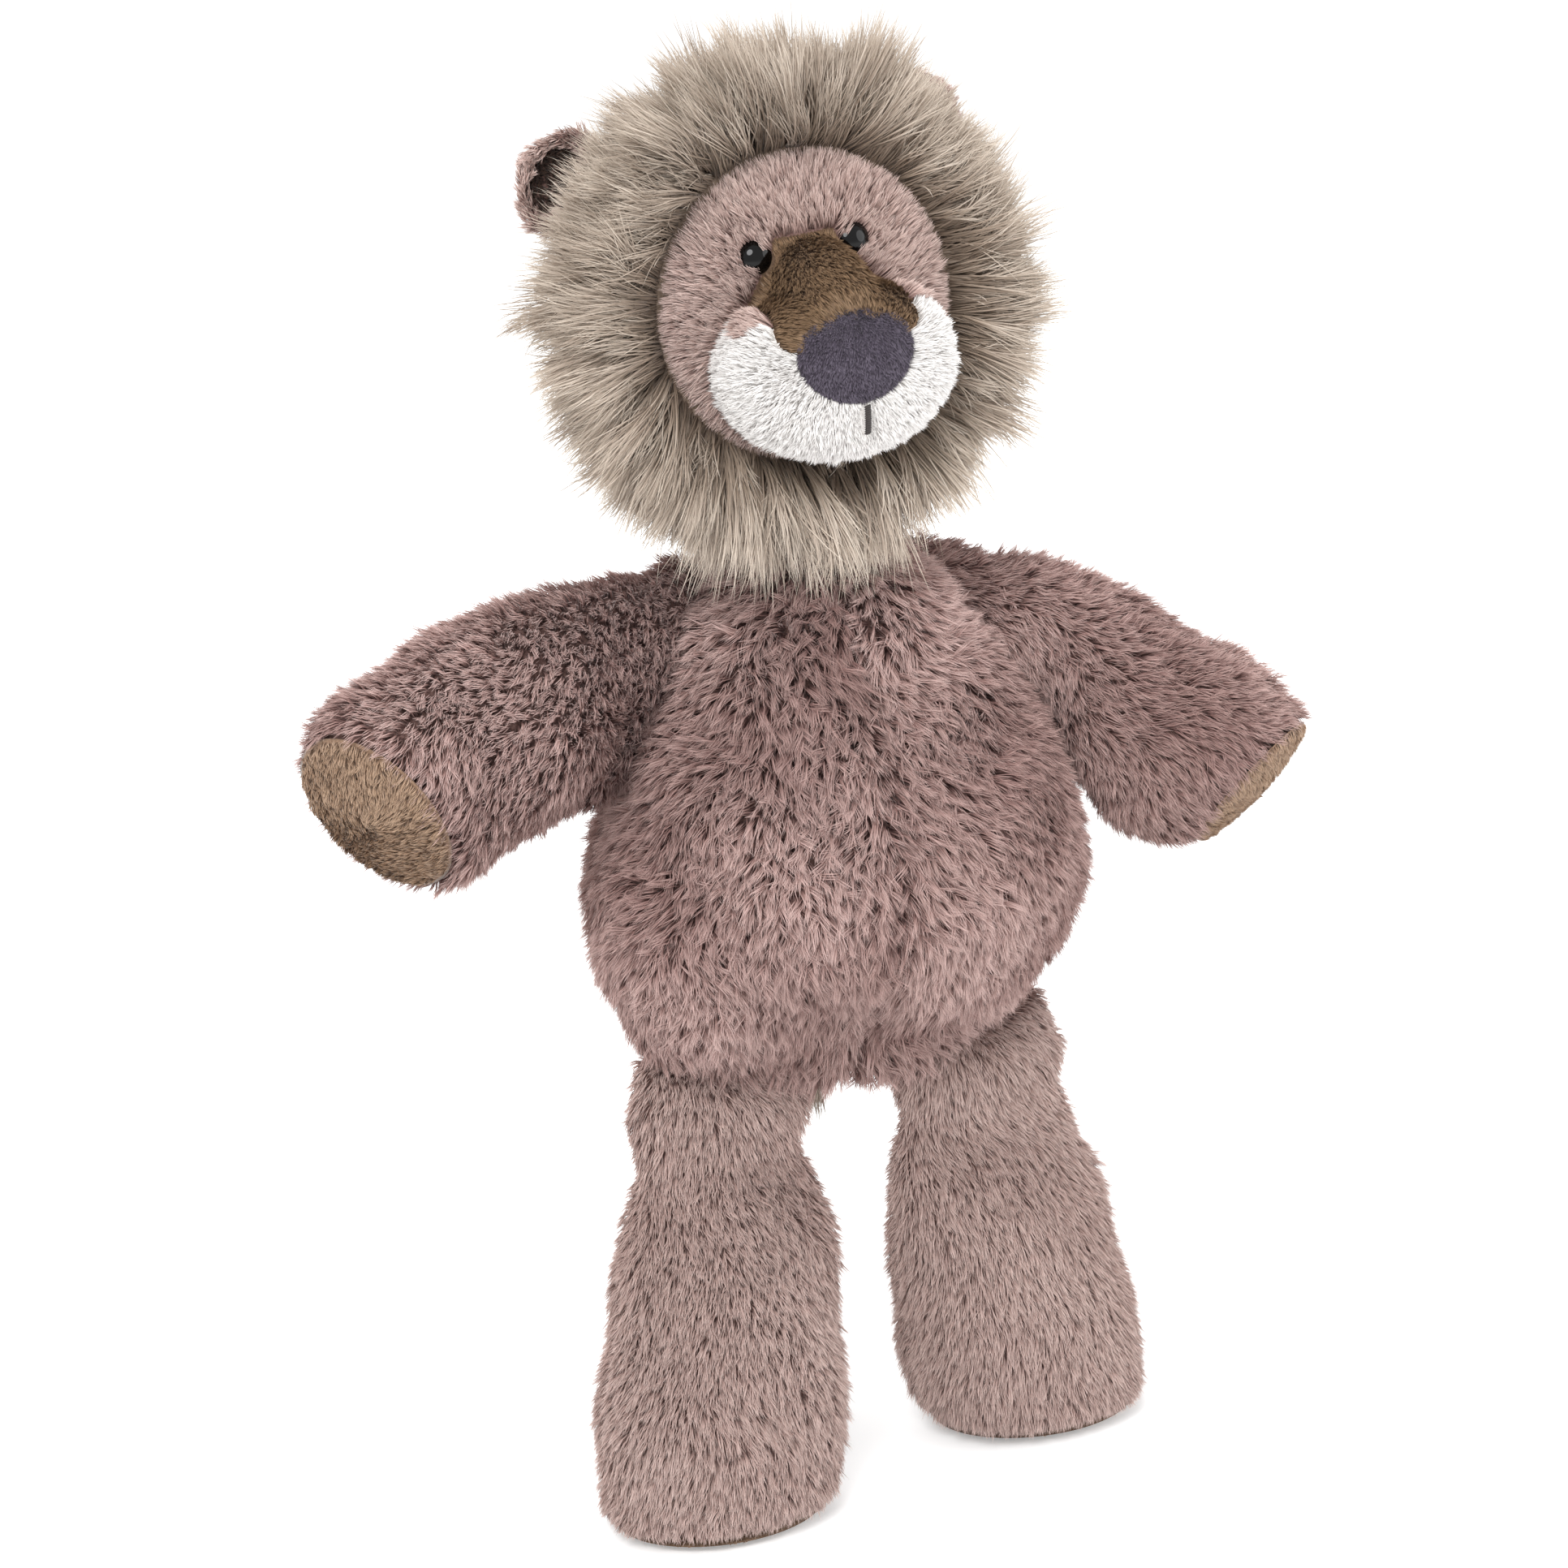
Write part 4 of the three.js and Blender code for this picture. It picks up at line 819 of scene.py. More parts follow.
def strand_paths(spots, length, lean, curl, per_clump, pull, wander, uneven, random, steps):
    """Each strand's points from root to tip. lean is 0 upright to 1 flat, at the root and at the tip."""
    count = len(spots)
    leader = clump_of(spots.points, per_clump, random)
    lock = random.normal(size=(count, 3))[leader]
    turn = wander * (AREA_TURN * swirl(spots.points, TURN_SIZE, random) + LOCK_TURN * lock[:, 0])
    turn += STRAND_TURN * random.normal(size=count)
    side = np.cross(spots.normals, spots.flow)
    flow = spots.flow * np.cos(turn)[:, None] + side * np.sin(turn)[:, None]
    long = (length * random.uniform(*LENGTH_SHARES, count) * (1 + uneven * lock[:, 1]))[:, None]
    t = np.linspace(0, 1, steps)
    bend = lean[0] + (lean[1] - lean[0]) * t
    path = np.zeros((count, steps, 3))
    path[:, 0] = spots.points
    for k in range(1, steps):
        tilt = np.clip((bend[k - 1] + bend[k]) / 2 + LOCK_LEAN * lock[:, 2], *LEAN_LIMITS)
        tilt = tilt[:, None] * math.pi / 2
        way = spots.normals * np.cos(tilt) + flow * np.sin(tilt)
        path[:, k] = path[:, k - 1] + way * long / (steps - 1)
    share = (np.reshape(pull, (-1, 1)) * t**PULL_POWER)[:, :, None]
    path = path * (1 - share) + path[leader] * share
    path += (curl * t**2)[None, :, None] * random.normal(size=(count, 1, 3))
    return path, leader


def ribbon_triangles(steps):
    """Pairs of points up a ribbon, closed to one point at its tip."""
    points = 2 * (steps - 1) + 1
    triangles = [(points - 3, points - 2, points - 1)]
    for a in range(0, points - 3, 2):
        triangles += [(a, a + 1, a + 3), (a, a + 3, a + 2)]
    return np.array(triangles)


def grow(name, spots, finish, body, nodes=(), length=8.0, width=0.26, lean=(0.25, 0.75), curl=0.4,
         per_clump=13, pull=0.5, wander=0.5, uneven=0.1, steps=4, tone_spread=0.5, patchy=0.1):
    """Pile on a surface as tapered ribbons that gather in locks."""
    random = np.random.default_rng([SEED, *name.encode()])
    path, leader = strand_paths(spots, length, lean, curl, per_clump, pull, wander, uneven, random, steps)
    count = len(spots)
    tone = 0.5 + patchy * swirl(spots.points, PATCH_SIZE, random)
    tone += tone_spread * (random.random(count)[leader] + random.random(count) - 1) / 2
    tone = np.clip(tone, *TONE_LIMITS)
    up = np.linspace(0, 1, steps)
    taper = np.sqrt(1 - up**2)[:-1]
    half = width * random.uniform(*WIDTH_SHARES, count) / 2
    heading = unit(np.gradient(path, axis=1))
    facing = unit(spots.normals + FACING_SPREAD * random.normal(size=(count, 3)))[:, None]
    aside = unit(np.cross(heading, facing))
    offset = aside[:, :-1] * (half[:, None] * taper)[:, :, None]
    pairs = np.stack([path[:, :-1] - offset, path[:, :-1] + offset], 2).reshape(count, -1, 3)
    points = np.concatenate([pairs, path[:, -1:]], 1)
    per_strand = points.shape[1]
    first = per_strand * np.arange(count)[:, None, None]
    triangles = (ribbon_triangles(steps)[None] + first).reshape(-1, 3)
    across = np.append(np.tile([-TONE_ACROSS, TONE_ACROSS], steps - 1), 0)
    height = np.append(np.repeat(up[:-1], 2), 1)
    places = np.stack([tone[:, None] + across, np.broadcast_to(height, (count, per_strand))], -1)
    strand_map = np.clip(places.reshape(-1, 2)[triangles.ravel()], *MAP_LIMITS)
    return placed_piece(name, points.reshape(-1, 3), triangles, finish, body, nodes, strand_map)


def shorter_at_seams(distance):
    """How long the pile stands near a seam, as a share of its full length."""
    return SEAM_PILE_SHARE + (1 - SEAM_PILE_SHARE) * np.clip(distance / SEAM_PILE_REACH, 0, 1)


def drooping(spots, share):
    """The same places with their pile turned more towards the ground."""
    flow = along_surface(unit(spots.flow - share * Z), spots.normals)
    return Spots(spots.points, spots.normals, flow)


def random_for(name):
    return np.random.default_rng([SEED, PLACE_DRAWS, *name.encode()])


# Torso
TORSO_SEWN_LOW, TORSO_SEWN_HIGH = 6.0, 8.0
CREASE_DEPTH, CREASE_HALF_WIDTH, CREASE_FACING = 1.5, 1.9, 0.2
TORSO_DENSITY, TORSO_DROOP = 6.4, 0.5
TORSO_PILE_LENGTH, BELLY_PILE_MORE, BELLY_PILE_HALF = 6.4, 2.8, 34.0
TORSO_PULL, BELLY_PULL_MORE = 0.4, 0.2
# How pile is cut and combed, here and below: what grow takes
TORSO_CUT = dict(steps=3, per_clump=10, patchy=0.42, wander=1.1)


def build_torso():
    outer = torso_surface()

    def seams(points):
        x, y, z = (points - ORIGIN).T
        ends = (z < TORSO_BOTTOM + TORSO_SEWN_LOW) | (z > TORSO_BOTTOM + TORSO_HEIGHT - TORSO_SEWN_HIGH)
        return (np.abs(x) < SEWN["torso"]) | (np.abs(y) < SEWN["torso"]) | ends

    backing = stuffed(outer.offset(eased_inset(outer.points[:, 2] - TORSO_BOTTOM)), seams)
    backing = rumpled(backing, "torso", **FOLDS["torso"])
    from_seam = np.abs(backing.points[:, 0] - ORIGIN[0])
    crease = CREASE_DEPTH * np.exp(-((from_seam / CREASE_HALF_WIDTH) ** 2))
    backing = backing.offset(-crease * (backing.normals[:, 1] < -CREASE_FACING))
    skin_piece("torso_stuffed", backing, BODY_CLOTH, "torso", ["torso_filling"])
    spots = drooping(scatter(backing, TORSO_DENSITY, random_for("torso")), TORSO_DROOP)
    x, y, z = (spots.points - ORIGIN).T
    middle = np.exp(-((x / BELLY_PILE_HALF) ** 2))
    length = TORSO_PILE_LENGTH + BELLY_PILE_MORE * middle
    length *= shorter_at_seams(np.minimum(np.abs(x), np.abs(y)))
    pull = TORSO_PULL + BELLY_PULL_MORE * middle
    for half, in_half in (("front", y < 0), ("back", y >= 0)):
        for side, in_side in (("left", x >= 0), ("right", x < 0)):
            keep = in_half & in_side
            name = f"torso_{half}_{side}"
            grow(f"{name}_pile", spots.kept(keep), BODY_PILE, "torso", [f"{name}_panel"],
                 length=length[keep], pull=pull[keep], **TORSO_CUT)


# Arms
ARM_SEWN_PAW, ARM_SEWN_ROOT = 3.0, 3.0
ARM_DENSITY, ARM_PILE_LENGTH = 6.0, 6.2
ARM_CUT = dict(steps=3, lean=(0.25, 0.8), per_clump=9, pull=0.42, patchy=0.32, wander=0.75)
PAW_EDGE, ARM_ROOT_EDGE, ARM_ROOT_SHARE, ARM_ROOT_FACING = 1.2, 1.5, 0.8, 0.1
PAW_SUNK, PAW_INSET, PAW_CROWN, PAW_DENSITY = 1.6, 2.2, 2.6, 9.0
PAW_CUT = dict(length=2.2, lean=(0.3, 0.7), curl=0.15, per_clump=20, pull=0.2, wander=0.7, steps=3)
DISC_ROWS, DISC_MIDDLE, PAD_FACING = 18, 0.02, 0.2


def disc_surface(centre, across, through, half_across, half_through, crown, outward):
    """A padded oval that swells outward by its crown."""
    share = np.linspace(1, DISC_MIDDLE, DISC_ROWS)
    centres = centre + outward * (crown * (1 - share**2))[:, None]
    return lofted(centres, across, through, half_across * share, half_through * share)


def build_arm(name):
    form, paw, across, through, half, depth = arm_surface(name)
    place = shoulder_matrix(name)
    outward = unit(np.cross(across, through))
    outward = outward * np.sign(outward @ paw)
    body = f"arm_{name}"

    def seams(points):
        past_paw = (points - paw) @ outward > -BACKING_DEPTH - ARM_SEWN_PAW
        return (np.abs(points[:, 1]) < SEWN["arm"]) | past_paw | (points[:, 0] < ARM_SEWN_ROOT)

    backing = stuffed(form.offset(eased_inset(form.points[:, 0])), seams)
    backing = rumpled(backing, body, **FOLDS["arm"])
    skin_piece(f"{body}_stuffed", backing.moved(place), BODY_CLOTH, body, [f"{body}_filling"])
    spots = scatter(backing, ARM_DENSITY, random_for(body))
    x, y, _ = spots.points.T
    past_end = (spots.points - paw) @ outward > -BACKING_DEPTH - PAW_EDGE
    on_root = (x > -ARM_ROOT_SHARE * ARM_ROOT_RADIUS) & (np.abs(spots.normals[:, 1]) > ARM_ROOT_FACING)
    bare = past_end | ~((x > -ARM_ROOT_EDGE) | on_root)
    length = ARM_PILE_LENGTH * shorter_at_seams(np.abs(y))
    for side, on_side in (("front", y < 0), ("back", y >= 0)):
        keep = on_side & ~bare
        grow(f"{body}_{side}_pile", spots.kept(keep).moved(place), BODY_PILE, body,
             [f"{body}_{side}_panel"], length=length[keep], **ARM_CUT)
    pad = disc_surface(
        paw - outward * PAW_SUNK, across, through, half - PAW_INSET, depth - PAW_INSET, PAW_CROWN, outward
    )
    skin_piece(f"{body}_paw_pad_cloth", pad.moved(place), PAD_CLOTH, body)
    spots = scatter(pad, PAW_DENSITY, random_for(body + "pad"))
    ahead = spots.normals @ outward > PAD_FACING
    grow(f"{body}_paw_pad_pile", spots.kept(ahead).moved(place), PAD_PILE, body, [f"{body}_paw_pad"],
         **PAW_CUT)


# Legs
LEG_SEWN_FOOT, LEG_SEWN_HIP, LEG_LOWEST = 6.0, 5.0, 1.2
LEG_DENSITY, LEG_PILE_LENGTH, LEG_PILE_LOWEST, LEG_PILE_FACING = 6.2, 5.4, 1.6, 0.85
NEAR_FLOOR, FLOOR_PILE_SHARE = 9.0, 0.28
LEG_CUT = dict(lean=(0.3, 0.85), steps=3, per_clump=8, pull=0.35, wander=0.35, patchy=0.16)
SOLE_SHARE, SOLE_INSET, SOLE_RISE, SOLE_CROWN, SOLE_DENSITY = 0.9, 2.6, 1.7, 0.9, 3.0
SOLE_CUT = dict(
    length=1.1, width=0.36, lean=(0.5, 0.8), curl=0.1, per_clump=20, pull=0.2, wander=0.9, steps=3
)


def blend_at_hip(piece):
    """The piece with its placement baked into its mesh."""
    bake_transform(piece)


def build_leg(name):
    form, foot = leg_surface(name)
    body = f"leg_{name}"

    def seam_distance(points):
        down = (HIP_HEIGHT - points[:, 2]) / HIP_HEIGHT
        return points[:, 1] - ORIGIN[1] - down * (foot - ORIGIN)[1]

    def seams(points):
        ends = (points[:, 2] < LEG_SEWN_FOOT) | (points[:, 2] > HIP_HEIGHT - LEG_SEWN_HIP)
        return (np.abs(seam_distance(points)) < SEWN["leg"]) | ends

    backing = stuffed(form.offset(eased_inset(HIP_HEIGHT - form.points[:, 2])), seams)
    backing = rumpled(backing, body, **FOLDS["leg"])
    backing.points[:, 2] = np.maximum(backing.points[:, 2], LEG_LOWEST)
    made = skin_piece(f"{body}_stuffed", backing, BODY_CLOTH, None, [f"{body}_filling"])
    blend_at_hip(made)
    spots = scatter(backing, LEG_DENSITY, random_for(body))
    spots = spots.kept((spots.points[:, 2] > LEG_PILE_LOWEST) & (spots.normals[:, 2] > -LEG_PILE_FACING))
    from_seam = seam_distance(spots.points)
    near_floor = np.clip(spots.points[:, 2] / NEAR_FLOOR, FLOOR_PILE_SHARE, 1)
    length = LEG_PILE_LENGTH * near_floor * shorter_at_seams(np.abs(from_seam))
    for side, on_side in (("front", from_seam < 0), ("back", from_seam >= 0)):
        made = grow(f"{body}_{side}_pile", spots.kept(on_side), LEG_PILE_PAINTED_LIGHTER, None,
                    [f"{body}_{side}_panel"], length=length[on_side], **LEG_CUT)
        blend_at_hip(made)
    half, depth = (SOLE_SHARE * size - SOLE_INSET for size in (FOOT_HALF_WIDTH, FOOT_HALF_DEPTH))
    sole = disc_surface(foot + SOLE_RISE * Z, -X, Y, half, depth, SOLE_CROWN, -Z)
    skin_piece(f"{body}_sole_pad_cloth", sole, PAD_CLOTH, body)
    spots = scatter(sole, SOLE_DENSITY, random_for(body + "sole"))
    chosen = spots.kept(spots.normals[:, 2] < -PAD_FACING)
    grow(f"{body}_sole_pad_pile", chosen, PAD_PILE, body, [f"{body}_sole_pad"], **SOLE_CUT)


# Head
HEAD_SEWN, HEAD_PILE_AHEAD, HEAD_DENSITY, HEAD_PILE_LENGTH = 3.0, 2.0, 3.8, 7.5
HEAD_BACK_FLOW, HEAD_DROOP = 0.2, 1.0


def on_head(places):
    return places.moved(head_matrix())


def face_front(x, z):
    return FACE_BALL_Y - np.sqrt(np.maximum(FACE_BALL**2 - x**2 - z**2, 0))


def build_head_back():
    def seams(points):
        return points[:, 1] < MANE_BACK_SEAM + HEAD_SEWN

    form = stuffed(head_surface().offset(-BACKING_DEPTH), seams)
    skin_piece("head_stuffed", on_head(form), BODY_CLOTH, "head", ["head_filling"])
    spots = scatter(form, HEAD_DENSITY, random_for("head_back"))
    spots = spots.kept(spots.points[:, 1] > MANE_BACK_SEAM - HEAD_PILE_AHEAD)
    spots.flow = HEAD_BACK_FLOW * Y + 0 * spots.points
    spots = drooping(spots, HEAD_DROOP)
    for side, on_side in (("left", spots.points[:, 0] >= 0), ("right", spots.points[:, 0] < 0)):
        grow(f"head_back_{side}_pile", on_head(spots.kept(on_side)), BODY_PILE, "head",
             ["head_back_panel"], length=HEAD_PILE_LENGTH)


# Face
FACE_DENSITY, FACE_PICKED = 15.0, 0.8
FACE_BEHIND, FACE_FACING = 3.0, 0.25
MUZZLE_RIM_SHARE, MUZZLE_STANDS, RIDGE_MARGIN = 1.04, 0.4, 1.0
NOSE_UNDER, NOSE_AHEAD_OF = 0.8, -38.0
EYE_LAP, EYE_LAP_LESS, EYE_REGION, EYE_TO_BRIDGE = 1.3, 1.0, 1.6, 0.3
FACE_PILE_LENGTH, FACE_RIM_OVER, FACE_RIM_SHARE = 5.4, 7.0, 0.35
EYE_PILE_LENGTH, EYE_PILE_MORE, NEAR_EYE_SHARE, NEAR_EYE_GROWTH = 3.4, 0.8, 0.55, 0.1
CHEEK_PILE_LENGTH, CHEEK_PILE_MORE = 4.0, 1.4
MUZZLE_PILE_LENGTH, MUZZLE_PILE_MORE, BRIDGE_PILE_LENGTH = 2.6, 2.2, 2.7
MOUTH_CLEAR, MOUTH_PILE_OVER, MOUTH_PILE_SHARE = 0.8, 3.0, 0.6
SOFT_CUT = dict(curl=0.3, per_clump=13, pull=0.26, wander=0.4, tone_spread=0.45)
BRIDGE_CUT = dict(
    width=0.2, lean=(0.45, 0.9), curl=0.08, per_clump=6, pull=0.2, wander=0.15, steps=3, tone_spread=0.6
)


def cloth_patch(name, form, chosen, finish):
    faces = form.triangles[chosen[form.triangles].sum(1) >= 2]
    return placed_piece(name, on_head(form).points, faces, finish, "head")


def face_regions(places):
    """Which of the places lie on the nose, bridge, cheeks, white muzzle and the rest of the face."""
    x, y, z = places.points.T
    flat = np.column_stack([x, z + MUZZLE_DROP])
    reach = np.hypot(x / MUZZLE_HALF_WIDTH, (z + MUZZLE_DROP) / MUZZLE_HALF_HEIGHT)
    ridge = (np.abs(x) < RIDGE_HALF_WIDTH + RIDGE_MARGIN) & (z > -MUZZLE_DROP)
    on_muzzle = (y < face_front(x, z) - MUZZLE_STANDS) & ((reach < MUZZLE_RIM_SHARE) | ridge)
    nose = inside(flat, nose_outline(-NOSE_UNDER)) & (y < NOSE_AHEAD_OF)
    bridge = inside(flat, bridge_outline()) & ~nose
    cheek = inside(flat, cheek_outline()) & on_muzzle & ~bridge & ~nose
    white = on_muzzle & ~bridge & ~cheek & ~nose
    forward = (y < FACE_FRONT + FACE_BEHIND) & (places.normals[:, 1] < -FACE_FACING)
    rest = forward & ~nose & ~bridge & ~cheek & ~white
    return dict(nose=nose, bridge=bridge, cheek=cheek, white=white, rest=rest)


def build_face(form):
    """The face, cheeks, bridge and white muzzle, sewn edge to edge over one filling."""
    spots = scatter(form, FACE_DENSITY, random_for("face"))
    cloth, pile = face_regions(form), face_regions(spots)
    face = cloth_patch("face_cloth", form, cloth["rest"], BODY_CLOTH)
    cloth_patch("cheek_cloth", form, cloth["cheek"], BODY_CLOTH)
    cloth_patch("muzzle_bridge_cloth", form, cloth["bridge"], BRIDGE_CLOTH)
    muzzle = cloth_patch("muzzle_cloth", form, cloth["white"] | cloth["nose"], WHITE_CLOTH)

    x, y, z = spots.points.T
    on_left = x >= 0
    to_eye = np.column_stack([np.where(on_left, EYE_SPREAD, -EYE_SPREAD) - x, 0 * x, EYE_RISE - z])
    from_eye = np.hypot(to_eye[:, 0], to_eye[:, 2])
    toward = np.clip((unit(spots.flow) * unit(to_eye)).sum(1), 0, 1)
    clear_of_eye = from_eye > EYE_RADIUS - EYE_LAP + EYE_LAP_LESS * toward
    round_eye = clear_of_eye & (from_eye < EYE_RADIUS + EYE_REGION)
    spots.flow[pile["bridge"]] *= -1
    past_mouth = np.abs(z + MUZZLE_DROP - NOSE_LOW + MOUTH_LENGTH / 2) - MOUTH_LENGTH / 2
    from_mouth = np.hypot(x, np.maximum(past_mouth, 0))
    back = np.clip((y - MUZZLE_TIP) / (MUZZLE_ROOT - MUZZLE_TIP), 0, 1)
    picked = np.random.default_rng(SEED).random(len(spots)) < FACE_PICKED

    def part(name, keep, finish, node, length, **cut):
        grow(name, on_head(spots.kept(keep)), finish, "head", [node], length=length[keep], **cut)

    near_rim = np.clip((FACE_RADIUS + 1 - np.hypot(x, z)) / FACE_RIM_OVER, FACE_RIM_SHARE, 1)
    near_eye = np.clip(NEAR_EYE_SHARE + NEAR_EYE_GROWTH * (from_eye - EYE_RADIUS), NEAR_EYE_SHARE, 1)
    part("face_pile", pile["rest"] & clear_of_eye & picked & ~round_eye, FACE_PILE, "face_panel",
         FACE_PILE_LENGTH * near_rim * near_eye, width=0.22, lean=(0.3, 0.9), **SOFT_CUT)
    part("eye_rim_pile", (pile["rest"] | pile["cheek"]) & round_eye, FACE_PILE, "face_panel",
         EYE_PILE_LENGTH + EYE_PILE_MORE * toward, width=0.22, lean=(0.25, 0.85), **SOFT_CUT)
    for side, on_side in (("left", on_left), ("right", ~on_left)):
        part(f"cheek_{side}_pile", pile["cheek"] & on_side & picked & ~round_eye, FACE_PILE,
             f"cheek_{side}_panel", CHEEK_PILE_LENGTH + CHEEK_PILE_MORE * back, width=0.24,
             lean=(0.25, 0.85), **SOFT_CUT)
    part("muzzle_white_pile", pile["white"] & (from_mouth > MOUTH_CLEAR), WHITE_PILE, "muzzle_white_panel",
         (MUZZLE_PILE_LENGTH + MUZZLE_PILE_MORE * back)
         * np.clip(from_mouth / MOUTH_PILE_OVER, MOUTH_PILE_SHARE, 1),
         width=0.22, lean=(0.25, 0.85), **SOFT_CUT)
    part("muzzle_bridge_pile", pile["bridge"] & (from_eye > EYE_RADIUS + EYE_TO_BRIDGE), BRIDGE_PILE,
         "muzzle_bridge_panel", BRIDGE_PILE_LENGTH + 0 * back, **BRIDGE_CUT)


# Nose
NOSE_MIDDLE_RISE, NOSE_ROWS, NOSE_CROWN, NOSE_SUNK, NOSE_ROUNDNESS = 1.5, 18, 3.4, 0.6, 2.2
NOSE_DENSITY = 14.0
NOSE_CUT = dict(
    length=1.1, width=0.22, lean=(0.3, 0.75), curl=0.08, per_clump=18, pull=0.15, wander=0.5, steps=3
)


def build_nose(face):
    """A cushion over the nose's outline that follows the muzzle's tip."""
    rim = nose_outline()
    middle = np.array([0.0, (NOSE_TOP + NOSE_LOW) / 2 + NOSE_MIDDLE_RISE])
    front = Front(face)
    rows = []
    for part in np.linspace(1.0, 0.0, NOSE_ROWS)[:-1]:
        x, z = (middle + (rim - middle) * part).T
        crown = NOSE_CROWN * math.sqrt(1 - part**NOSE_ROUNDNESS) - NOSE_SUNK
        rows.append(np.column_stack([x, front(x, z - MUZZLE_DROP) - crown, z - MUZZLE_DROP]))
    points = np.vstack(rows + [rows[-1].mean(0, keepdims=True)])
    sides, count = len(rim), len(rows)
    triangles = []
    for row in range(count - 1):
        for k in range(sides):
            a, b = row * sides + k, row * sides + (k + 1) % sides
            triangles += [(a, b, b + sides), (a, b + sides, a + sides)]
    for k in range(sides):
        triangles.append(((count - 1) * sides + k, (count - 1) * sides + (k + 1) % sides, count * sides))
    triangles = np.array(triangles)
    if vertex_normals(points, triangles)[-1][1] > 0:
        triangles = triangles[:, ::-1]
    form = Surface(points, triangles, steady(-Z, len(points)))
    skin_piece("nose_cloth", on_head(form), NOSE_CLOTH, "head")
    spots = scatter(form, NOSE_DENSITY, random_for("nose"))
    grow("nose_pile", on_head(spots), NOSE_PILE, "head", ["nose_patch"], **NOSE_CUT)


# Mouth
STITCHES, STITCH_STEPS, STITCH_RADIUS, STITCH_SIDES = 13, 9, 0.3, 8
STITCH_ARCH, STITCH_LIFT, STITCH_SLANT, MOUTH_GAP = 0.75, 2.0, 0.25, 0.4
STITCH_END_POWER, STITCH_END_SHARE = 6, 0.05


def thread_along(path):
    """A round thread along a short path, rounded off at both ends."""
    heading = unit(np.gradient(path, axis=0))
    aside = unit(np.cross(heading, Y + 0.01 * X))
    upward = np.cross(heading, aside)
    ends = np.clip(1 - np.linspace(-1, 1, len(path)) ** STITCH_END_POWER, STITCH_END_SHARE, 1)
    radius = STITCH_RADIUS * np.sqrt(ends)
    return lofted(path, aside, upward, radius, radius, STITCH_SIDES)


def build_mouth(face):
    """Satin stitches side by side, each going over the line and into the cloth."""
    front = Front(face)
    stitches = []
    across = np.linspace(-MOUTH_WIDTH / 2, MOUTH_WIDTH / 2, STITCH_STEPS)
    arch = np.sqrt(np.clip(1 - (2 * across / MOUTH_WIDTH) ** 2, 0, 1))
    for k in range(STITCHES):
        middle = NOSE_LOW - MOUTH_GAP - MOUTH_LENGTH * k / (STITCHES - 1)
        height = middle + STITCH_SLANT * across - MUZZLE_DROP
        lift = STITCH_ARCH * arch + STITCH_LIFT
        path = np.column_stack([across, front(across, height) - lift, height])
        stitches.append(thread_along(path))
    skin_piece("mouth_stitches", on_head(together(stitches)), THREAD, "head", ["mouth_stitch"])


# Eyes
EYE_ROWS, EYE_SIDES, EYE_BACK_DEG, EYE_FRONT_DEG = 40, 64, -50.0, 89.5


def build_eyes():
    angle = np.radians(np.linspace(EYE_BACK_DEG, EYE_FRONT_DEG, EYE_ROWS))
    radius = EYE_RADIUS * np.cos(angle)
    for name, side in (("left", 1), ("right", -1)):
        place = np.array([side * EYE_SPREAD, face_front(EYE_SPREAD, EYE_RISE), EYE_RISE])
        outward = unit(place - FACE_BALL_Y * Y)
        across = unit(np.cross(outward, Z))
        upward = np.cross(across, outward)
        centres = place + outward * (EYE_DOME * np.sin(angle) - EYE_SUNK)[:, None]
        button = on_head(lofted(centres, across, upward, radius, radius, EYE_SIDES))
        skin_piece(f"eye_{name}_button", button, BLACK_PLASTIC, "head", [f"eye_{name}"])
        washer = frame["nodes"][f"eye_washer_{name}"]
        washer.data.materials.clear()
        washer.data.materials.append(WASHER_PLASTIC)


# Mane
MANE_ROWS, MANE_DENSITY, MANE_SECTORS = 24, 12.0, 4
MANE_INSET, MANE_OUTSET, MANE_AHEAD, MANE_BEHIND = 1.0, 0.5, 0.5, 1.0
MANE_CLOTH_HALF, MANE_CLOTH_FACING, MANE_PILE_INSET, MANE_PILE_FACING = 15.0, 0.95, 1.6, 0.999
MANE_TIP_REACH, MANE_LEFT_LESS, MANE_EAR_LESS, MANE_EAR_WIDTH_DEG = 57.0, 3.5, 9.0, 13.0
MANE_SHORTEST, MANE_LONGEST, MANE_ARC_SHARE = 11.0, 40.0, 1.12
MANE_LONG_ONES, MANE_LONG_MORE = 0.08, 0.22
COMB, COMB_SWIRL, COMB_SIZE = 0.08, 0.38, 15.0
MANE_BACKWARD, MANE_FORWARD, MANE_DOWN = 0.8, 0.05, 0.1
MANE_UPRIGHT, MANE_UPRIGHT_LESS, MANE_OUTWARD = 1.1, 0.9, 0.55
MANE_CUT = dict(
    width=0.28, lean=(0.42, 1.02), curl=2.2, per_clump=30, pull=0.6, wander=0.45, uneven=0.24, steps=6,
    tone_spread=0.85,
)


def mane_length(spots, random):
    """Long enough to reach the mane's outline, which is lower at the ears and at the toy's left."""
    x, _, z = spots.points.T
    far = np.hypot(x, z)
    from_ear = np.abs(np.abs(np.degrees(np.arctan2(z, x)) - 90) - 90 + EAR_ANGLE_DEG)
    reach = MANE_TIP_REACH - MANE_LEFT_LESS * np.clip(x / FACE_RADIUS, 0, 1)
    reach -= MANE_EAR_LESS * np.exp(-((from_ear / MANE_EAR_WIDTH_DEG) ** 2)) * (z > 0)
    length = np.clip(reach - far, MANE_SHORTEST, MANE_LONGEST) * MANE_ARC_SHARE
    return length * (1 + MANE_LONG_MORE * (random.random(len(length)) < MANE_LONG_ONES))


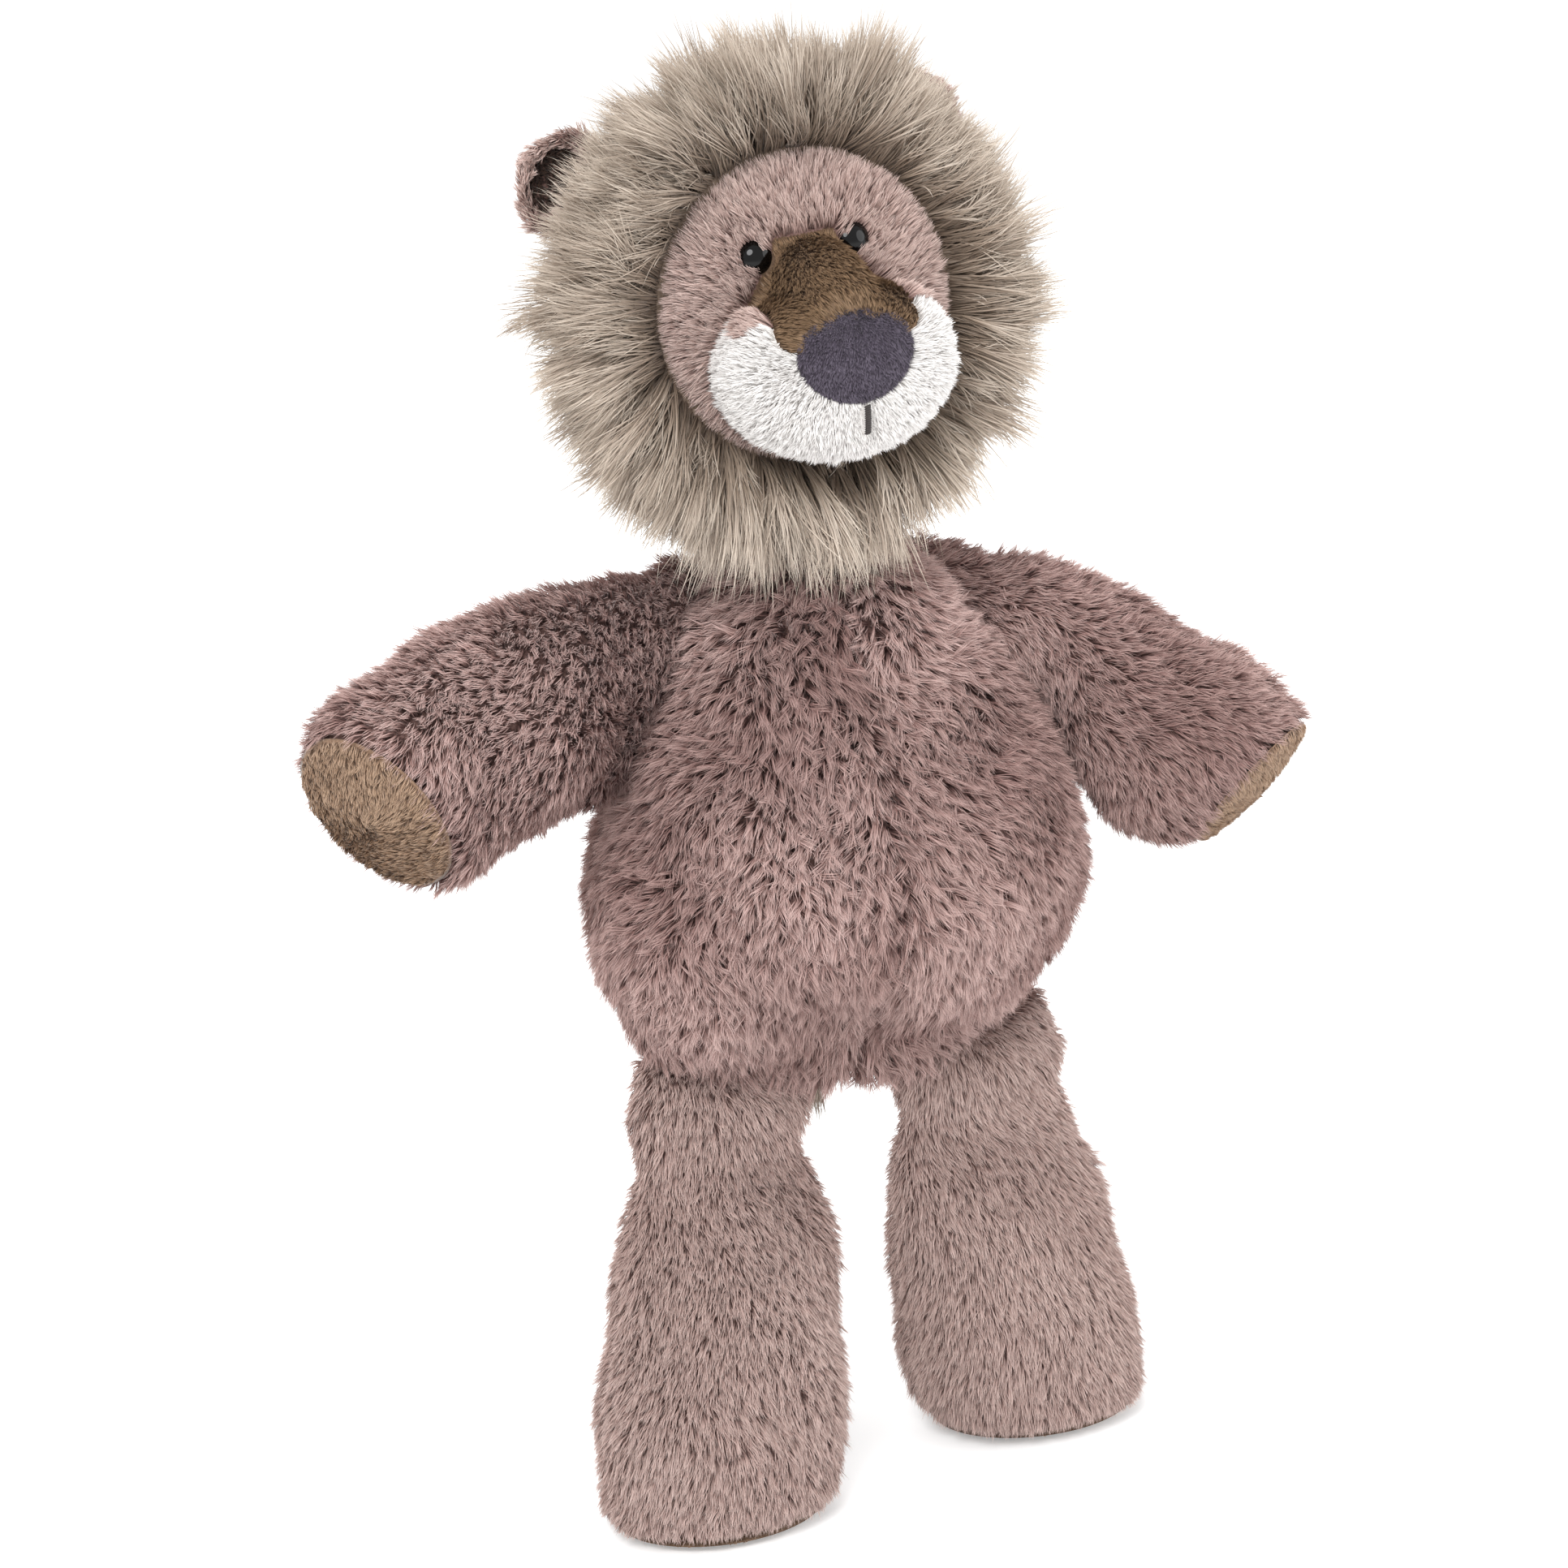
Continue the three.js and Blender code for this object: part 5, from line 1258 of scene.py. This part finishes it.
def build_mane():
    """Long pile sewn in round the face. It leaves the face's rim and sweeps outward and back."""
    random = random_for("mane")
    band = np.linspace(0, 1, MANE_ROWS) * math.pi / 2
    wider = HEAD_HALF_WIDTH - FACE_RADIUS + MANE_OUTSET
    radius = FACE_RADIUS - MANE_INSET + wider * np.sin(band)
    ahead = FACE_FRONT - MANE_AHEAD + (MANE_BACK_SEAM - FACE_FRONT + MANE_BEHIND) * (1 - np.cos(band))
    form = lofted(ahead[:, None] * Y, X, Z, radius, radius)
    facing = form.normals[form.triangles].mean(1)[:, 1]
    far = np.abs(form.points[form.triangles][:, :, [0, 2]]).max((1, 2))
    ring_only = (far > MANE_CLOTH_HALF) & (facing < MANE_CLOTH_FACING)
    placed_piece("mane_cloth", on_head(form).points, form.triangles[ring_only], MANE_CLOTH, "head")
    spots = scatter(form, MANE_DENSITY, random)
    far = np.hypot(spots.points[:, 0], spots.points[:, 2])
    sideways = np.abs(spots.normals[:, 1]) < MANE_PILE_FACING
    spots = spots.kept((far > FACE_RADIUS - MANE_PILE_INSET) & sideways)
    x, y, z = spots.points.T
    outward = unit(np.column_stack([x, 0 * x, z]))
    along_rim = np.cross(outward, Y)
    back_share = np.clip((y - FACE_FRONT) / (MANE_BACK_SEAM - FACE_FRONT), 0, 1)[:, None]
    combing = (COMB + COMB_SWIRL * swirl(spots.points, COMB_SIZE, random))[:, None]
    length = mane_length(spots, random)
    backward = MANE_BACKWARD * back_share**2 - MANE_FORWARD
    spots.flow = unit(outward + combing * along_rim + backward * Y - MANE_DOWN * Z)
    upright = unit(-Y * (MANE_UPRIGHT - MANE_UPRIGHT_LESS * back_share) + MANE_OUTWARD * outward)
    spots.normals = along_surface(upright, spots.flow)
    sector = np.floor((np.arctan2(z, x) + math.pi) / (2 * math.pi) * MANE_SECTORS)
    sector = sector.clip(0, MANE_SECTORS - 1)
    for k in range(MANE_SECTORS):
        chosen = sector == k
        grow(f"mane_pile_{k + 1}", on_head(spots.kept(chosen)), MANE_PILE, "head", ["mane_strip"],
             length=length[chosen], **MANE_CUT)


# Ears
EAR_ROWS, EAR_SIDES, EAR_ROOT_SHARE, EAR_DENSITY = 40, 64, 0.55, 10.0
EAR_PILE_DEPTH, EAR_BACKING_DEPTH, EAR_PILE_OVER = 1.0, 0.8, 4.0
CUP_HEIGHT, CUP_HALF_HEIGHT, CUP_ROUNDNESS, CUP_DEPTH_SHARE = 9.2, 7.4, 4, 1.1
LINING_SHARE, LINING_AHEAD, LINING_FACING = 0.84, 1.0, 0.1
EAR_CUT = dict(length=3.8, lean=(0.3, 0.8), curl=0.3, per_clump=24, pull=0.4)
LINING_CUT = dict(length=2.2, width=0.28, lean=(0.3, 0.75), curl=0.15, per_clump=10, pull=0.2)


def ear_matrix(side):
    angle = math.radians(EAR_ANGLE_DEG)
    outward = np.array([side * math.cos(angle), 0, math.sin(angle)])
    across = np.array([-side * math.sin(angle), 0, math.cos(angle)])
    turn = np.column_stack([across, Y, outward])
    return head_matrix() @ matrix_of(outward * EAR_ROOT_RADIUS + EAR_Y * Y, turn)


def from_cup(points):
    """How far points are from the middle of the ear's hollow, which is 1 at its edge."""
    across = points[:, 0] / (EAR_HALF_WIDTH - EAR_RIM)
    return np.hypot(across, (points[:, 2] - CUP_HEIGHT) / CUP_HALF_HEIGHT)


def build_ear(name, side):
    body = f"ear_{name}"
    x, wide, _ = smooth_table([(0.0, EAR_ROOT_SHARE)] + EAR_SHARES, EAR_ROWS).T
    centres = np.outer((EAR_LENGTH - EAR_PILE_OVER) * x, Z)
    deep = EAR_THICKNESS * (1 + wide) / 4
    form = lofted(centres, X, Y, (EAR_HALF_WIDTH - EAR_PILE_DEPTH) * wide, deep, EAR_SIDES)
    cup = np.clip(1 - from_cup(form.points) ** CUP_ROUNDNESS, 0, 1) * (form.points[:, 1] < 0)
    form.points[:, 1] += cup * deep.mean() * CUP_DEPTH_SHARE
    backing = Surface(form.points, form.triangles, form.flow).offset(-EAR_BACKING_DEPTH)
    place = ear_matrix(side)
    skin_piece(f"{body}_cloth", backing.moved(place), BODY_CLOTH, body)
    spots = scatter(backing, EAR_DENSITY, random_for(body))
    forward = (spots.points[:, 1] < LINING_AHEAD) & (spots.normals[:, 1] < LINING_FACING)
    in_cup = forward & (from_cup(spots.points) < LINING_SHARE)
    grow(f"{body}_pile", spots.kept(~in_cup).moved(place), FACE_PILE, body, [f"{body}_outer"], **EAR_CUT)
    grow(f"{body}_lining_pile", spots.kept(in_cup).moved(place), EAR_PILE, body, [f"{body}_lining"],
         **LINING_CUT)


# Neck
NECK_TABLE = [(-14, 15.0), (-6, 12.5), (4, 13.5), (12, 17.0)]
NECK_ROWS, NECK_SIDES, NECK_DENSITY, NECK_FACING = 12, 48, 4.0, 0.8


def build_neck():
    heights, radii = np.transpose(NECK_TABLE)
    z = np.linspace(heights[0], heights[-1], NECK_ROWS)
    radius = np.interp(z, heights, radii)
    centres = ORIGIN + np.outer(NECK_HEIGHT + z, Z)
    form = lofted(centres, X, Y, radius, radius, NECK_SIDES).flowing_back()
    skin_piece("neck_cloth", form, BODY_CLOTH, "neck", ["neck_filling"])
    spots = scatter(form, NECK_DENSITY, random_for("neck"))
    chosen = spots.kept(np.abs(spots.normals[:, 2]) < NECK_FACING)
    grow("neck_pile", chosen, BODY_PILE, "neck")


# Tail
TAIL_ROWS, TAIL_SIDES, TAIL_DENSITY, TAIL_ROOT_INSIDE, TAIL_OVER = 30, 32, 9.0, 4.0, 1.1
TAIL_BACKING_DEPTH = 1.4
TAIL_TABLE = [(0, 2.5), (0.06, TAIL_RADIUS), (0.95, TAIL_RADIUS), (1, 3.0)]
TAIL_CUT = dict(length=3.6, width=0.28, lean=(0.3, 0.8))
TUFT_ROOTS = 12.0
TUFT_CUT = dict(
    length=15.0, width=0.3, lean=(0.62, 1.08), curl=0.8, per_clump=40, pull=0.6, wander=0.15, steps=6,
    tone_spread=0.7,
)


def build_tail():
    x, _, deep = smooth_table(TORSO_SHARES, ROWS).T
    height = TORSO_BOTTOM + TORSO_HEIGHT * x
    back = np.interp(TAIL_HEIGHT, height, (BELLY_HALF_DEPTH - BELLY_FORWARD) * deep)
    root = ORIGIN + [0, back + TAIL_STANDOFF, TAIL_HEIGHT]
    t = np.linspace(0, 1, TAIL_ROWS)
    centres = root + np.outer(TAIL_ROOT_INSIDE - TAIL_LENGTH * TAIL_OVER * t, Z)
    radius = np.interp(t, *np.transpose(TAIL_TABLE)) - TAIL_BACKING_DEPTH
    form = lofted(centres, -X, Y, radius, radius, TAIL_SIDES)
    skin_piece("tail_cloth", form, BODY_CLOTH, "tail")
    spots = scatter(form, TAIL_DENSITY, random_for("tail"))
    grow("tail_pile", spots, BODY_PILE, "tail", ["tail_tube"], **TAIL_CUT)
    tuft_top = root[2] - TAIL_LENGTH + TUFT_OVERLAP
    chosen = spots.kept((spots.points[:, 2] < tuft_top) & (spots.points[:, 2] > tuft_top - TUFT_ROOTS))
    grow("tail_tuft_pile", chosen, MANE_PILE, "tail", ["tail_tuft"], **TUFT_CUT)


# Studio
FLOOR_SIZE, FLOOR_COLOUR, FLOOR_GLOW = 60.0, (0.85, 0.85, 0.85, 1), 0.3
LAMPS = dict(
    key=dict(place=(-0.9, -1.3, 1.5), size=1.0, power=28.0),
    fill=dict(place=(1.4, -1.0, 0.7), size=1.4, power=12.0),
    rim=dict(place=(0.3, 1.5, 1.2), size=1.2, power=10.0),
)
LAMP_TARGET = (0, 0, 0.17)
CAMERA_AZIMUTH_DEG, CAMERA_ELEVATION_DEG, CAMERA_ROLL_DEG = -20.0, 14.0, 5.0
CAMERA_DISTANCE, CAMERA_LENS, SENSOR_WIDTH = 1.1, 112.7, 36.0
CAMERA_TARGET = (ORIGIN + [-11.857, -7.854, 168.0]) * MM


def seen_directly(tree):
    """1 for rays from the camera and rays that reach here off gloss or through clear parts."""
    rays = tree.nodes.new("ShaderNodeLightPath")
    found = rays.outputs["Is Camera Ray"]
    for kind in ("Is Glossy Ray", "Is Transmission Ray"):
        most = tree.nodes.new("ShaderNodeMath")
        most.operation = "MAXIMUM"
        tree.links.new(found, most.inputs[0])
        tree.links.new(rays.outputs[kind], most.inputs[1])
        found = most.outputs[0]
    return found


def build_stage():
    """A wide white floor. The camera sees it a little brighter than it lights the toy."""
    bpy.ops.mesh.primitive_plane_add(size=FLOOR_SIZE, location=(0, 0, 0))
    floor = bpy.context.object
    floor.name = "floor"
    made, tree, shader = material("floor_white", 1.0, Base_Color=FLOOR_COLOUR, Specular_IOR_Level=0.0)
    glow = with_inputs(tree.nodes.new("ShaderNodeEmission"), Strength=FLOOR_GLOW)
    both = tree.nodes.new("ShaderNodeAddShader")
    mix = tree.nodes.new("ShaderNodeMixShader")
    tree.links.new(shader.outputs[0], both.inputs[0])
    tree.links.new(glow.outputs[0], both.inputs[1])
    tree.links.new(seen_directly(tree), mix.inputs["Fac"])
    tree.links.new(shader.outputs[0], mix.inputs[1])
    tree.links.new(both.outputs[0], mix.inputs[2])
    tree.links.new(mix.outputs[0], tree.nodes["Material Output"].inputs["Surface"])
    floor.data.materials.append(made)


def build_world():
    """A plain white surround, which lights the toy and is its background."""
    world = bpy.data.worlds.new("studio")
    bpy.context.scene.world = world
    world.use_nodes = True
    with_inputs(world.node_tree.nodes["Background"], Color=(1, 1, 1, 1), Strength=1.0)


def area_light(name, place, size, power):
    data = bpy.data.lights.new(name, "AREA")
    data.shape = "DISK"
    data.size = size
    data.energy = power
    lamp = bpy.data.objects.new(name, data)
    lamp.location = place
    lamp.rotation_euler = (Vector(LAMP_TARGET) - Vector(place)).to_track_quat("-Z", "Y").to_euler()
    bpy.context.scene.collection.objects.link(lamp)


def build_camera():
    data = bpy.data.cameras.new("camera")
    data.lens = CAMERA_LENS
    data.sensor_width = SENSOR_WIDTH
    data.sensor_fit = "HORIZONTAL"
    azimuth, elevation = math.radians(CAMERA_AZIMUTH_DEG), math.radians(CAMERA_ELEVATION_DEG)
    level = Vector((math.sin(azimuth), -math.cos(azimuth), 0)) * math.cos(elevation)
    back = level + Vector((0, 0, math.sin(elevation)))
    camera = bpy.data.objects.new("camera", data)
    camera.location = Vector(CAMERA_TARGET) + back * CAMERA_DISTANCE
    look = (-back).to_track_quat("-Z", "Y")
    roll = Matrix.Rotation(math.radians(-CAMERA_ROLL_DEG), 4, "Z")
    camera.matrix_world = Matrix.Translation(camera.location) @ look.to_matrix().to_4x4() @ roll
    bpy.context.scene.collection.objects.link(camera)
    bpy.context.scene.camera = camera


build_camera()
build_stage()
build_world()
for lamp_name, lamp in LAMPS.items():
    area_light(lamp_name, **lamp)
bpy.context.scene.view_settings.view_transform = "Standard"

build_torso()
for arm_name in ARMS:
    build_arm(arm_name)
for leg_name in FOOT_SPREAD:
    build_leg(leg_name)
build_neck()
build_head_back()
face_skin = face_form()
build_face(face_skin)
build_nose(face_skin)
build_mouth(face_skin)
build_eyes()
build_mane()
build_ear("left", 1)
build_ear("right", -1)
build_tail()

bpy.context.view_layer.update()
